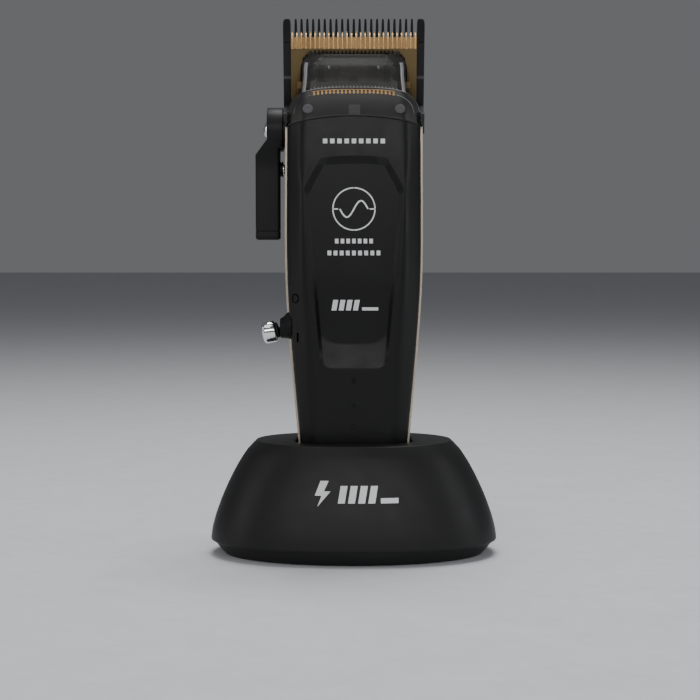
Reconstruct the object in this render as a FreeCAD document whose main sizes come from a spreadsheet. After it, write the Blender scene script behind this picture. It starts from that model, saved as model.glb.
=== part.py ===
import FreeCAD, Part
import Sketcher
import math
import os
import re

from FreeCAD import Placement, Rotation, Vector

# Cordless hair clipper standing in its charging dock, in millimetres.
# +Z is up, the clipper's front faces -Y, and the origin is the middle of the dock's underside.

DIMENSIONS = {
    # housing stations from the tail to the nose: height, half width, front, back, facet half width
    "tail_level": 16, "tail_half": 16.2, "tail_front": -11.2, "tail_back": 11.2, "tail_facet": 11,
    "rim_level": 37.8, "rim_half": 18.1, "rim_front": -13, "rim_back": 13.4, "rim_facet": 12.4,
    "grip_level": 69.7, "grip_half": 20.9, "grip_front": -15.6, "grip_back": 16.4, "grip_facet": 14.2,
    "waist_level": 92.7, "waist_half": 22.2, "waist_front": -17, "waist_back": 18.6, "waist_facet": 16,
    "head_level": 128, "head_half": 22.2, "head_front": -17, "head_back": 18.4, "head_facet": 16.6,
    "top_level": 140.6, "top_half": 22.1, "top_front": -15.8, "top_back": 16.2, "top_facet": 16.2,
    "wall": 2.2, "trim_front": -7.5, "trim_back": -6, "ledge": 0.7, "back_slope": 8,
    "recess_depth": 1.1, "cap_bottom": 12,
    # blade frame: origin at the fixed blade's tips, tilted forward about X
    "tip_y": 3, "tip_z": 175.3, "blade_tilt": 15,
    "fixed_half": 23.2, "fixed_length": 36, "fixed_thick": 3, "fixed_teeth": 21,
    "fixed_pitch": 1.9, "fixed_gap": 0.95, "fixed_slot": 9.5,
    "cutter_half": 20.65, "cutter_tip": -4.1, "cutter_heel": -27, "cutter_thick": 2.2,
    "cutter_teeth": 28, "cutter_pitch": 1.49, "cutter_gap": 0.95, "cutter_slot": 5.4,
    "window_half": 16.7, "window_top": -11, "seat_top": -28.5, "seat_bottom": -40,
    "seat_front": -14.5, "seat_half": 22.9, "seat_inner": 15.6, "screw_x": 14, "screw_z": -33,
    # drive
    "motor_y": 4.3, "motor_radius": 11.3, "motor_bottom": 98, "motor_top": 130.5,
    "shaft_radius": 1, "crank": 1.5, "crank_radius": 1, "disc_radius": 5.5, "disc_bottom": 134.5,
    "disc_top": 138, "crank_top": 147.5, "fork_half": 4.2, "fork_outer": 6.4,
    "guide_inner": 9.5, "guide_outer": 13.6, "guide_front": -6.6, "guide_back": -4.8,
    # taper lever
    "lever_y": 3, "lever_z": 139.2, "hub_radius": 7.2, "hub_inner": -23.1, "hub_outer": -28.5,
    "arm_inner": -24.2, "arm_outer": -32.1, "arm_end": 103.2, "arm_half": 4.6,
    "detent_drop": 12.9, "detent_radius": 2.5,
    "lever_local_y": -9.343, "lever_local_z": -34.87, "cam_slot_z": -36.07, "lever_shaft": 3.2,
    "bush_radius": 4.4, "cam_radius": 3.51, "cam_pin": 1.1, "cam_angle": -5,
    # power toggle
    "toggle_x": -21.5, "toggle_z": 75.2, "toggle_y": -6.75, "toggle_rest": 12.5, "toggle_pivot": 2,
    "knob_radius": 3.62, "knob_start": 5.6, "knob_length": 4.9,
    "boss_flange": 4.7, "boss_tip": 3.2, "boss_length": 2.5, "boss_seat": 1.2,
    # battery and boards
    "cell_radius": 9.2, "cell_bottom": 30, "cell_length": 65, "cell_y": 0.2,
    # dock
    "dock_half": 47.2, "dock_deep": 30, "dock_top_half": 32.2, "dock_top_deep": 21.6,
    "dock_foot_half": 42.7, "dock_foot_deep": 26.4, "seam_level": 4.8, "dock_top": 37.6,
    "shell_wall": 2.2, "well_gap": 0.9, "well_wall": 1.3, "well_floor": 10,
    "pin_x": 5, "pin_radius": 1, "pin_top": 11.9, "base_level": 0.3,
}

doc = FreeCAD.newDocument("hair_clipper")
sheet = doc.addObject("Spreadsheet::Sheet", "dims")
for row, (alias, value) in enumerate(DIMENSIONS.items(), start=1):
    sheet.set("A%d" % row, alias)
    sheet.set("B%d" % row, str(value))
    sheet.setAlias("B%d" % row, alias)
doc.recompute()

ALIAS = re.compile(r"\b(" + "|".join(sorted(DIMENSIONS, key=len, reverse=True)) + r")\b")
FAR = 60
subparts = []


def size(alias):
    """A dimension's number, for shapes that Part's own functions build."""
    return float(sheet.get(alias))


def bind(obj, path, text):
    """Binds a property to the sheet; aliases are written without their sheet's name."""
    obj.setExpression(path, ALIAS.sub(r"dims.\1", str(text)))


def keep(node, obj):
    """Marks an object as a finished sub-part of the clipper."""
    obj.Label = node
    subparts.append(obj)
    return obj


# ---------------------------------------------------------------- bound primitives

def box(name, x, y, z):
    """A box given by its low and high bound along each axis."""
    obj = doc.addObject("Part::Box", name)
    for side, (low, high) in zip(("Length", "Width", "Height"), (x, y, z)):
        bind(obj, side, "(%s) - (%s)" % (high, low))
    for letter, (low, _) in zip("xyz", (x, y, z)):
        bind(obj, "Placement.Base." + letter, low)
    return obj


TURN = {"x": Rotation(Vector(0, 1, 0), 90), "y": Rotation(Vector(1, 0, 0), -90), "z": Rotation()}


def rod(name, radius, start, length, along="z"):
    """A cylinder from a start point along one axis."""
    obj = doc.addObject("Part::Cylinder", name)
    bind(obj, "Radius", radius)
    bind(obj, "Height", length)
    obj.Placement = Placement(Vector(), TURN[along])
    for letter, value in zip("xyz", start):
        bind(obj, "Placement.Base." + letter, value)
    return obj


def fuse(name, *pieces):
    obj = doc.addObject("Part::MultiFuse", name)
    obj.Shapes = list(pieces)
    obj.Refine = True
    return obj


def cut(name, base, *tools):
    obj = doc.addObject("Part::Cut", name)
    obj.Base = base
    obj.Tool = tools[0] if len(tools) == 1 else fuse(name + "_tools", *tools)
    return obj


def group(name, *pieces):
    """Several separate solids that share one node."""
    obj = doc.addObject("Part::Compound", name)
    obj.Links = list(pieces)
    return obj


def tilted(obj):
    """Moves a finished piece from the blade frame to its place on the nose."""
    obj.Placement = Placement(Vector(), Rotation(Vector(1, 0, 0), 1))
    bind(obj, "Placement.Base.y", "tip_y")
    bind(obj, "Placement.Base.z", "tip_z")
    bind(obj, "Placement.Rotation.Angle", "blade_tilt * 1 deg")
    return obj


def solid(name, shape):
    """A sub-part or tool whose curved shape comes from Part's own functions."""
    obj = doc.addObject("Part::Feature", name)
    obj.Shape = shape
    return obj


# ---------------------------------------------------------------- bodies with sketches

def origin_plane(body, role):
    return [item for item in body.Origin.OriginFeatures if item.Role == role][0]


def sketch_outline(body, name, role, points):
    """A closed outline of straight edges whose corners are bound to the sheet."""
    sketch = body.newObject("Sketcher::SketchObject", name)
    sketch.AttachmentSupport = [(origin_plane(body, role), "")]
    sketch.MapMode = "FlatFace"
    count = len(points)
    for index in range(count):
        start = Vector(index, index * index, 0)
        end = Vector((index + 1) % count, ((index + 1) % count) ** 2, 0)
        sketch.addGeometry(Part.LineSegment(start, end))
    for index in range(count):
        sketch.addConstraint(Sketcher.Constraint("Coincident", index, 2, (index + 1) % count, 1))
    for index, point in enumerate(points):
        for kind, text in zip(("DistanceX", "DistanceY"), point):
            place = sketch.addConstraint(Sketcher.Constraint(kind, -1, 1, index, 1, 1.0))
            bind(sketch, "Constraints[%d]" % place, text)
    return sketch


def pad_body(name, role, points, length, both_ways=False, offset="0"):
    """A padded outline; the pad leaves its plane along the sketch's own normal."""
    body = doc.addObject("PartDesign::Body", name)
    sketch = sketch_outline(body, name + "_outline", role, points)
    bind(sketch, "AttachmentOffset.Base.z", offset)
    pad = body.newObject("PartDesign::Pad", name + "_pad")
    pad.Profile = sketch
    pad.Midplane = both_ways
    bind(pad, "Length", length)
    return body


def turned_body(name, points):
    """A half profile in the XZ plane, turned about the vertical sketch axis."""
    body = doc.addObject("PartDesign::Body", name)
    sketch = sketch_outline(body, name + "_profile", "XZ_Plane", points)
    turned = body.newObject("PartDesign::Revolution", name + "_turned")
    turned.Profile = sketch
    turned.ReferenceAxis = (sketch, ["V_Axis"])
    turned.Angle = 360
    return body


# ---------------------------------------------------------------- lofts of the housing

STATIONS = ("tail", "rim", "grip", "waist", "head", "top")


def polygon(points, level):
    corners = [Vector(x, y, level) for x, y in points]
    return Part.makePolygon(corners + corners[:1])


def mirrored(half):
    """Closes an outline given from the front centre to the back centre, on the +X side."""
    return half + [(-x, y) for x, y in reversed(half)]


def bevel_y(front):
    return front + 0.6 * (size("trim_front") - front)


def front_outline(station):
    half = size(station + "_half") - size("ledge")
    front = size(station + "_front")
    return mirrored([(size(station + "_facet"), front), (half, bevel_y(front)),
                     (half, size("trim_front"))])


def trim_outline(station):
    half = size(station + "_half")
    return mirrored([(half, size("trim_front")), (half, size("trim_back"))])


def rear_outline(station, grow=0.0):
    half = size(station + "_half") + grow
    back = size(station + "_back") + grow
    return mirrored([(half, size("trim_back")), (half, back - size("back_slope")),
                     (half - size("back_slope"), back)])


def inner_outline(station):
    wall = size("wall")
    half = size(station + "_half") - size("ledge") - wall
    front = size(station + "_front")
    back = size(station + "_back")
    return mirrored([(size(station + "_facet") - 0.8, front + wall), (half, bevel_y(front) + 1),
                     (half, back - size("back_slope")),
                     (half - size("back_slope") + 1, back - wall)])


def whole_outline(station, grow):
    """The tail's outside all round, for the well that it stands in."""
    half = size(station + "_half") + grow
    front = size(station + "_front") - grow
    back = size(station + "_back") + grow
    return mirrored([(size(station + "_facet") + grow / 2, front), (half, bevel_y(front)),
                     (half, back - size("back_slope")), (half - size("back_slope"), back)])


def station_loft(outline, reach=0.0):
    """A solid through one outline per station; reach lets it run past both ends."""
    wires = []
    for station in STATIONS:
        level = size(station + "_level")
        if station == STATIONS[0]:
            level -= reach
        if station == STATIONS[-1]:
            level += reach
        wires.append(polygon(outline(station), level))
    return Part.makeLoft(wires, True, False)


def blade_space():
    """The space on the nose that the blade seat takes, as a tilted block."""
    block = Part.makeBox(2 * FAR, -size("seat_front") + FAR + 0.05, -size("seat_bottom") + FAR + 0.05,
                         Vector(-FAR, size("seat_front") - 0.05, size("seat_bottom") - 0.05))
    block.Placement = Placement(Vector(0, size("tip_y"), size("tip_z")),
                                Rotation(Vector(1, 0, 0), size("blade_tilt")))
    return block


def recess_tool(front_solid):
    """The sunken panel on the front: an arched outline, as deep as recess_depth everywhere."""
    arch = Part.Arc(Vector(-10.6, -FAR, 129.1), Vector(0, -FAR, 129.9), Vector(10.6, -FAR, 129.1)).toShape()
    corners = [Vector(10.6, -FAR, 129.1), Vector(15.8, -FAR, 119.8), Vector(10.7, -FAR, 66),
               Vector(7.5, -FAR, 62.1), Vector(-7.5, -FAR, 62.1), Vector(-10.7, -FAR, 66),
               Vector(-15.8, -FAR, 119.8), Vector(-10.6, -FAR, 129.1)]
    face = Part.Face(Part.Wire([arch] + Part.makePolygon(corners).Edges))
    prism = face.extrude(Vector(0, FAR, 0))
    floor = front_solid.copy()
    floor.translate(Vector(0, size("recess_depth"), 0))
    return prism.cut(floor)


def holes(points, radius, start, reach, along=Vector(0, 1, 0)):
    shapes = [Part.makeCylinder(radius, reach, start + Vector(*point), along) for point in points]
    return Part.makeCompound(shapes)


LENS_LEVELS = (43.1, 50.1, 57.9)
LENS_RADIUS = 1.0
BOSS_PASSAGE = 3.6
HOUSING_SCREWS = ((6, 0, 24.5), (-6, 0, 24.5))


def make_housing():
    """Front shell, metallic band and rear shell: slices of one hollow body."""
    inner = station_loft(inner_outline, 0.5)
    seat = blade_space()
    front = station_loft(front_outline)
    front = front.cut(recess_tool(front)).cut(inner).cut(seat)
    front = front.cut(holes([(0, 0, level) for level in LENS_LEVELS], LENS_RADIUS + 0.05,
                            Vector(0, -FAR, 0), FAR - 8))
    toggle_axis = Vector(-FAR / 2, size("toggle_y"), size("toggle_z"))
    seat_depth = FAR / 2 + size("toggle_x") + size("boss_seat")
    toggle_hole = Part.makeCylinder(BOSS_PASSAGE, 14, toggle_axis, Vector(1, 0, 0)).fuse(
        Part.makeCylinder(size("boss_flange") + 0.05, seat_depth, toggle_axis, Vector(1, 0, 0)))
    front = front.cut(toggle_hole)
    posts = holes(HOUSING_SCREWS, 2.4, Vector(0, -11, 0), 14)
    front = front.fuse(posts).cut(holes(HOUSING_SCREWS, 1.25, Vector(0, -6, 0), FAR))
    band = station_loft(trim_outline).cut(inner).cut(seat).cut(toggle_hole)
    rear = station_loft(rear_outline).cut(inner).cut(seat).cut(toggle_hole)
    rear = rear.cut(holes(HOUSING_SCREWS, 1.25, Vector(0, 8, 0), FAR))
    rear = rear.cut(holes(HOUSING_SCREWS, 2.4, Vector(0, 10.6, 0), FAR))
    keep("front_housing", solid("front_housing", front))
    keep("side_trim", solid("side_trim", band))
    keep("rear_housing", solid("rear_housing", rear))
    screws = [Part.makeCylinder(1.2, 11.0, Vector(x, -0.4, z), Vector(0, 1, 0)).fuse(
        Part.makeCylinder(2.3, 1.0, Vector(x, 10.6, z), Vector(0, 1, 0))) for x, _, z in HOUSING_SCREWS]
    keep("housing_screws", solid("housing_screws", Part.makeCompound(screws)))


def make_tail():
    """Cap with two charging contacts and a charging socket."""
    low = [(x * 0.9, y * 0.9) for x, y in whole_outline("tail", -0.2)]
    high = whole_outline("tail", -0.1)
    wires = [polygon(low, size("cap_bottom")), polygon(high, size("tail_level") - 0.02)]
    cap = Part.makeLoft(wires, True, True)
    contacts = [Part.makeCylinder(2.2, 0.8, Vector(side * size("pin_x"), 0, size("cap_bottom")))
                for side in (-1, 1)]
    port = Part.makeBox(9, 3.2, 3.6, Vector(-4.5, 4.4, size("cap_bottom") + 0.1))
    mouth = Part.makeBox(8.3, 2.5, 3.0, Vector(-4.15, 4.75, size("cap_bottom") - 0.1))
    for tool in contacts + [port, mouth]:
        cap = cap.cut(tool)
    keep("tail_cap", solid("tail_cap", cap))
    keep("charging_contacts", solid("charging_contacts", Part.makeCompound(contacts)))
    keep("charge_port", solid("charge_port", port.cut(mouth)))


def make_collar():
    """Smoked nose collar: a curved front wall that leans back to the vent comb."""
    def section(half, facet, front, back, inset, level):
        return polygon(mirrored([(facet - inset / 2, front + inset), (half - inset, front + 4.6 + inset / 2),
                                 (half - inset, back)]), level)

    rows = ((21.6, 15.8, -15.5, -3.2, 140.62), (21, 14.6, -13.9, -3.0, 145), (19, 13, -10.6, -1.9, 150.6))
    outer = Part.makeLoft([section(*row[:4], 0, row[4]) for row in rows], True, False)
    inner = Part.makeLoft([section(row[0], row[1], row[2], row[3] + 1, 1.6, row[4] + lift)
                           for row, lift in zip(rows, (-0.2, 0, 0.2))], True, False)
    collar = outer.cut(inner).cut(blade_space())
    screw_holes = holes([(side * 14.4, -FAR / 2, 145) for side in (-1, 1)], 1.7, Vector(), FAR / 2 - 6)
    collar = collar.cut(screw_holes)
    keep("nose_collar", solid("nose_collar", collar))
    screws = [Part.makeCylinder(1.66, 4.5, Vector(side * 14.4, -14.2, 145), Vector(0, 1, 0))
              for side in (-1, 1)]
    keep("collar_screws", solid("collar_screws", Part.makeCompound(screws)))


def make_vent_comb():
    """Thin comb of teeth along the collar's upper rim."""
    teeth = [box("vent_tooth", (x - 0.35, x + 0.35), (-9.4, -8.6), (150.65, 152))
             for x in [1.1 * step for step in range(-11, 12)]]
    bar = box("vent_bar", (-12.8, 12.8), (-8.7, -7.3), (149.6, 151.2))
    keep("vent_comb", fuse("vent_comb", bar, *teeth))


# ---------------------------------------------------------------- blades and drive

def comb_slots(name, count, pitch, gap, y, z):
    """One slot between each pair of neighbouring teeth, centred on x = 0."""
    slots = []
    for step in range(count):
        middle = "%s * (%g)" % (pitch, step - (count - 1) / 2)
        slots.append(box(name, ("%s - %s / 2" % (middle, gap), "%s + %s / 2" % (middle, gap)), y, z))
    return slots


def make_fixed_blade():
    """Fixed blade: wedge profile, thin at the tips, with a guard bar at each side."""
    profile = [("0", "0"), ("0.6", "0"), ("fixed_thick", "-10"), ("fixed_thick", "-fixed_length"),
               ("0", "-fixed_length")]
    blank = pad_body("fixed_blank", "YZ_Plane", profile, "2 * fixed_half", both_ways=True)
    teeth = int(size("fixed_teeth"))
    slots = comb_slots("fixed_slot_tool", teeth + 1, "fixed_pitch", "fixed_gap", ("-1", "fixed_thick + 1"),
                       ("-fixed_slot", "1"))
    bores = [rod("fixed_bore", 1.65, (x, -1, "screw_z"), "fixed_thick + 2", "y")
             for x in ("screw_x", "-screw_x")]
    seats = [rod("fixed_seat", 2.75, (x, "fixed_thick - 1.4", "screw_z"), 3, "y")
             for x in ("screw_x", "-screw_x")]
    keep("fixed_blade", tilted(cut("fixed_blade", blank, *slots, *bores, *seats)))


def make_blade_screws():
    screws = []
    for x in ("screw_x", "-screw_x"):
        shank = rod("blade_screw_shank", 1.5, (x, -2, "screw_z"), "fixed_thick + 0.8", "y")
        head = rod("blade_screw_head", 2.65, (x, "fixed_thick - 1.4", "screw_z"), 1.3, "y")
        slot = box("blade_screw_slot", ("%s - 2" % x, "%s + 2" % x), ("fixed_thick - 0.6", "fixed_thick"),
                   ("screw_z - 0.3", "screw_z + 0.3"))
        screws.append(cut("blade_screw", fuse("blade_screw_blank", shank, head), slot))
    keep("blade_screws", tilted(group("blade_screws", *screws)))


def make_moving_blade():
    """Moving blade: a toothed bar with two legs, lying on the fixed blade's face."""
    plate = box("cutter_plate", ("-cutter_half", "cutter_half"), ("-cutter_thick", "-0.05"),
                ("cutter_heel", "cutter_tip"))
    window = box("cutter_window", ("-window_half", "window_half"), ("-cutter_thick - 1", 1),
                 ("cutter_heel - 1", "window_top"))
    teeth = int(size("cutter_teeth"))
    slots = comb_slots("cutter_slot_tool", teeth - 1, "cutter_pitch", "cutter_gap",
                       ("-cutter_thick - 1", 1), ("cutter_tip - cutter_slot", "cutter_tip + 1"))
    bevel = pad_body("cutter_bevel", "YZ_Plane",
                     [("-cutter_thick - 1", "cutter_tip + 1"), ("-0.7", "cutter_tip + 1"),
                      ("-0.7", "cutter_tip"), ("-cutter_thick", "cutter_tip - 6.2"),
                      ("-cutter_thick - 1", "cutter_tip - 6.2")],
                     "2 * cutter_half + 2", both_ways=True)
    keep("moving_blade", tilted(cut("moving_blade", plate, window, bevel, *slots)))


def make_drive_yoke():
    """Yoke on the moving blade; its fork stands over the motor's crank pin."""
    bar = box("yoke_bar", (-11, 11), (-3.4, "-cutter_thick"), (-15.5, -9.8))
    stem = box("yoke_stem", (-4.7, 4.7), (-4.2, "-cutter_thick"), (-25.5, -12.5))
    roof = box("yoke_roof", ("-fork_outer", "fork_outer"), (-8.6, "-cutter_thick"), (-25.5, -23.5))
    prongs = [box("yoke_prong", span, (-9.2, -3), (-30, -25.5))
              for span in (("-fork_outer", "-fork_half"), ("fork_half", "fork_outer"))]
    keep("drive_yoke", tilted(fuse("drive_yoke", bar, stem, roof, *prongs)))


def sorted_span(first, last):
    return (min(first, last), max(first, last))


def make_blade_guide():
    """Guide that the lever's cam pushes along the blade; it spans the crank as an arch."""
    arms = [box("guide_arm", span, ("guide_front", "guide_back"), (-37.5, -20))
            for span in (("-guide_outer", "-guide_inner"), ("guide_inner", "guide_outer"))]
    bridge = box("guide_bridge", ("-guide_outer", "guide_outer"), ("guide_front", "guide_back"), (-22.5, -20))
    tab = box("guide_tab", ("-guide_outer", "-guide_inner"), (-9, -3.2), (-38.9, -33.5))
    slot = box("guide_slot", ("-guide_outer - 1", "-guide_outer + 3"), (-7.5, -4.6),
               ("cam_slot_z - cam_pin - 0.1", "cam_slot_z + cam_pin + 0.1"))
    keep("blade_guide", tilted(cut("blade_guide", fuse("guide_blank", *arms, bridge, tab), slot)))
    leaves = []
    for side in (-1, 1):
        post = box("spring_post", sorted_span(side * 11.5, side * 14.5), ("guide_back", -3), (-22.3, -20.2))
        leaf = box("spring_leaf", sorted_span(side * 11.5, side * 18.6), (-3, -2.3), (-22.3, -20.2))
        leaves.append(fuse("spring_side", post, leaf))
    keep("tension_spring", tilted(group("tension_spring", *leaves)))


def make_nose_frame():
    """Blade seat: a cross bar under the fixed blade with a cheek at each side."""
    upper = box("seat_upper", ("-seat_half", "seat_half"), ("seat_front", 0), (-35, "seat_top"))
    lower = box("seat_lower", (-21.9, 21.9), ("seat_front", 0), ("seat_bottom", -35))
    lip = box("seat_lip", (-21, 21), (0, 2.8), ("seat_bottom", "-fixed_length - 0.1"))
    window = box("seat_window", ("-seat_inner", "seat_inner"), ("seat_front - 1", -2.6), (-41, -20))
    bores = [rod("seat_bore", 1.55, (x, -3, "screw_z"), 4, "y") for x in ("screw_x", "-screw_x")]
    shaft = rod("seat_shaft", "bush_radius", ("-seat_half - 1", "lever_local_y", "lever_local_z"), 12, "x")
    blank = fuse("seat_blank", upper, lower, lip)
    keep("nose_frame", tilted(cut("nose_frame", blank, window, shaft, *bores)))


def make_hood():
    """Smoked hood over the yoke: front and side walls, open behind and at its top."""
    def section(half, corner, front, inset, level):
        return polygon(mirrored([(corner - inset / 2, front + inset), (half - inset, front + 2.2 + inset / 2),
                                 (half - inset, -3.4 + 2 * inset)]), level)

    rows = ((17.6, 14.5, -13.2, -28.48), (16.2, 13, -8.6, -18), (14.6, 12, -5.7, -10.8))
    outer = Part.makeLoft([section(*row[:3], 0, row[3]) for row in rows], True, True)
    inner = Part.makeLoft([section(*row[:3], 1.0, row[3] + lift) for row, lift in zip(rows, (-0.3, 0, 0.3))],
                          True, True)
    keep("blade_hood", tilted(solid("blade_hood", outer.cut(inner))))


def make_motor():
    """Brushless motor, its bracket and screws, and the shaft with the crank disc."""
    can = rod("motor_blank", "motor_radius", (0, "motor_y", "motor_bottom"), "motor_top - motor_bottom")
    bore = rod("motor_bore", "shaft_radius + 0.05", (0, "motor_y", "motor_bottom - 1"),
               "motor_top - motor_bottom + 2")
    keep("motor_can", cut("motor_can", can, bore))
    rear = rod("bearing_blank", 4, (0, "motor_y", "motor_bottom - 2.4"), 2.38)
    hollow = rod("bearing_bore", "shaft_radius + 0.05", (0, "motor_y", "motor_bottom - 1.6"), 3)
    keep("motor_bearing", cut("motor_bearing", rear, hollow))
    plate = box("bracket_plate", (-13, 13), ("motor_y - 11", "motor_y + 9.5"),
                ("motor_top", "motor_top + 1.8"))
    opening = rod("bracket_bore", 4.2, (0, "motor_y", "motor_top - 1"), 4)
    screw_places = [(x, "motor_y") for x in (-8, 8)]
    bores = [rod("bracket_hole", 1.05, (x, y, "motor_top - 1"), 4) for x, y in screw_places]
    keep("motor_bracket", cut("motor_bracket", plate, opening, *bores))
    screws = [fuse("motor_screw", rod("motor_screw_shank", 1, (x, y, "motor_top"), 1.8),
                   rod("motor_screw_head", 1.9, (x, y, "motor_top + 1.8"), 1.2)) for x, y in screw_places]
    keep("motor_screws", group("motor_screws", *screws))
    keep("motor_shaft", rod("motor_shaft", "shaft_radius", (0, "motor_y", "motor_bottom - 1.4"),
                            "disc_bottom - motor_bottom + 1.4"))
    disc = rod("crank_disc", "disc_radius", (0, "motor_y", "disc_bottom"), "disc_top - disc_bottom")
    pin = rod("crank_pin", "crank_radius", ("crank", "motor_y", "disc_top"), "crank_top - disc_top")
    relief = box("crank_relief", ("crank + 2", "disc_radius + 1"), ("motor_y - 7", "motor_y + 7"),
                 ("disc_bottom + 1.4", "disc_top + 1"))
    keep("crank_eccentric", cut("crank_eccentric", fuse("crank_blank", disc, pin), relief))


# ---------------------------------------------------------------- taper lever

def lever_arm_outline():
    """The arm's edge profile in the XZ plane: a flare below the hub and a chamfered end."""
    return [("hub_inner", "lever_z + 2"), ("hub_outer", "lever_z + 2"), ("hub_outer", "lever_z - 3.3"),
            ("arm_outer", "lever_z - 8.3"), ("arm_outer", "arm_end + 0.5"), ("arm_outer + 0.5", "arm_end"),
            ("arm_inner - 0.5", "arm_end"), ("arm_inner", "arm_end + 0.5"), ("arm_inner", "lever_z - 6"),
            ("hub_inner", "lever_z - 6")]


def make_lever():
    hub = rod("lever_hub", "hub_radius", ("hub_outer", "lever_y", "lever_z"), "hub_inner - hub_outer", "x")
    arm = pad_body("lever_arm", "XZ_Plane", lever_arm_outline(), "2 * arm_half", both_ways=True)
    bind(arm, "Placement.Base.y", "lever_y")
    shaft_hole = rod("lever_hole", 1.65, ("hub_outer - 1", "lever_y", "lever_z"), 8, "x")
    detent_level = "lever_z - detent_drop"
    pin_hole = rod("detent_hole", "detent_radius + 0.05", ("arm_inner - 3", "lever_y", detent_level), 5, "x")
    keep("taper_lever", cut("taper_lever", fuse("lever_blank", hub, arm), shaft_hole, pin_hole))
    head = turned_body("lever_screw", [("0", "0"), ("2.6", "0"), ("2.6", "0.5"), ("1.9", "1.1"),
                                       ("0.9", "1.4"), ("0", "1.45")])
    head.Placement = Placement(Vector(), Rotation(Vector(0, 1, 0), -90))
    for letter, text in zip("xyz", ("hub_outer", "lever_y", "lever_z")):
        bind(head, "Placement.Base." + letter, text)
    keep("lever_screw", head)
    detent_start = ("arm_inner - 2.9", "lever_y", detent_level)
    keep("lever_detent", rod("lever_detent", "detent_radius", detent_start, 4.5, "x"))
    stub = rod("cam_stub", 1.6, ("hub_outer", "lever_y", "lever_z"), "hub_inner - hub_outer", "x")
    shaft = rod("cam_shaft", "lever_shaft", ("hub_inner", "lever_y", "lever_z"), 7.7, "x")
    disc = rod("cam_disc", 4.7, (-15.4, "lever_y", "lever_z"), 1.4, "x")
    pin = rod("cam_finger", "cam_pin", (-14, "lever_y + cam_radius * cos(cam_angle * 1 deg)",
                                        "lever_z + cam_radius * sin(cam_angle * 1 deg)"), 3.3, "x")
    keep("lever_cam", fuse("lever_cam", stub, shaft, disc, pin))
    sleeve = rod("bush_blank", "bush_radius - 0.02", (-22.9, "lever_y", "lever_z"), 7.2, "x")
    bore = rod("bush_bore", "lever_shaft + 0.05", (-24, "lever_y", "lever_z"), 9, "x")
    keep("lever_bush", cut("lever_bush", sleeve, bore))


# ---------------------------------------------------------------- power toggle

def make_toggle():
    """Flared boss with a chrome lever; the lever leans a little towards its lower position."""
    boss = turned_body("boss_turned", [("0", "-boss_seat"), ("boss_flange", "-boss_seat"),
                                       ("boss_flange", "-0.2"), ("boss_flange - 0.8", "0.8"),
                                       ("boss_tip + 0.2", "1.5"), ("boss_tip", "boss_length - 0.2"),
                                       ("boss_tip - 0.2", "boss_length"), ("0", "boss_length")])
    throat = doc.addObject("Part::Cone", "boss_throat")
    bind(throat, "Radius1", "1.6")
    bind(throat, "Radius2", "2.4")
    bind(throat, "Height", "boss_seat + boss_length")
    for piece, inward in ((boss, "0"), (throat, "boss_seat")):
        piece.Placement = Placement(Vector(), Rotation(Vector(0, 1, 0), -90))
        bind(piece, "Placement.Base.x", "toggle_x + " + inward)
        bind(piece, "Placement.Base.y", "toggle_y")
        bind(piece, "Placement.Base.z", "toggle_z")
    keep("switch_boss", cut("switch_boss", boss, throat))
    body = box("switch_block", (-17.9, -10.4), ("toggle_y - 3", "toggle_y + 3"),
               ("toggle_z - 5", "toggle_z + 5"))
    socket = box("switch_socket", (-19, -12), ("toggle_y - 1", "toggle_y + 1"),
                 ("toggle_z - 3", "toggle_z + 3"))
    keep("switch_body", cut("switch_body", body, socket))
    stem = turned_body("toggle_stem_turned", [("0", "-3"), ("0.9", "-3"), ("0.9", "knob_start"),
                                              ("0", "knob_start")])
    knob = turned_body("toggle_knob_turned",
                       [("0", "knob_start"), ("2.1", "knob_start"), ("knob_radius", "knob_start + 0.9"),
                        ("knob_radius", "knob_start + knob_length - 0.7"),
                        ("knob_radius - 0.8", "knob_start + knob_length"), ("0", "knob_start + knob_length")])
    lean = Rotation(Vector(0, 1, 0), -90 - size("toggle_rest"))
    for node, piece in (("toggle_stem", stem), ("toggle_knob", knob)):
        piece.Placement = Placement(Vector(), lean)
        bind(piece, "Placement.Base.x", "toggle_x + toggle_pivot")
        bind(piece, "Placement.Base.y", "toggle_y")
        bind(piece, "Placement.Base.z", "toggle_z")
        keep(node, piece)


# ---------------------------------------------------------------- battery and boards

def make_electronics():
    keep("battery_cell", rod("battery_cell", "cell_radius", (0, "cell_y", "cell_bottom"), "cell_length"))
    spine = box("cradle_spine", (-5, 5), ("cell_y + cell_radius + 0.05", "cell_y + cell_radius + 0.5"),
                ("cell_bottom - 2", "cell_bottom + cell_length + 1.6"))
    ends = [box("cradle_end", (-8, 8), ("cell_y - 7", "cell_y + cell_radius + 0.5"), span)
            for span in (("cell_bottom - 2", "cell_bottom - 0.05"),
                         ("cell_bottom + cell_length + 0.05", "cell_bottom + cell_length + 0.6"))]
    keep("battery_cradle", fuse("battery_cradle", spine, *ends))
    board = box("board_blank", (-9.5, 9.5), (-11.8, -10.6), (62, 95))
    chips = [box("board_chip", (x, x + 5), (-12.5, -11.8), (z, z + 4))
             for x, z in ((-7, 68), (1, 76), (-5, 86))]
    keep("control_board", fuse("control_board", board, *chips))
    lenses = [rod("lens", LENS_RADIUS, (0, lens_front(level), level), 2.0, "y") for level in LENS_LEVELS]
    keep("indicator_lenses", group("indicator_lenses", *lenses))


def lens_front(level):
    """The facet's own depth at this height, between the rim and the grip."""
    share = (level - size("rim_level")) / (size("grip_level") - size("rim_level"))
    return size("rim_front") + share * (size("grip_front") - size("rim_front")) + 0.12


# ---------------------------------------------------------------- dock

DOCK_ROWS = ((4.8, 1.0), (9.5, 0.953), (16, 0.819), (22.7, 0.633), (29.2, 0.413), (34.2, 0.2),
             (35.8, 0.087), (37.6, 0.0))


def oval(half, deep, level):
    return Part.Wire(Part.Ellipse(Vector(0, 0, level), half, deep).toShape())


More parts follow.
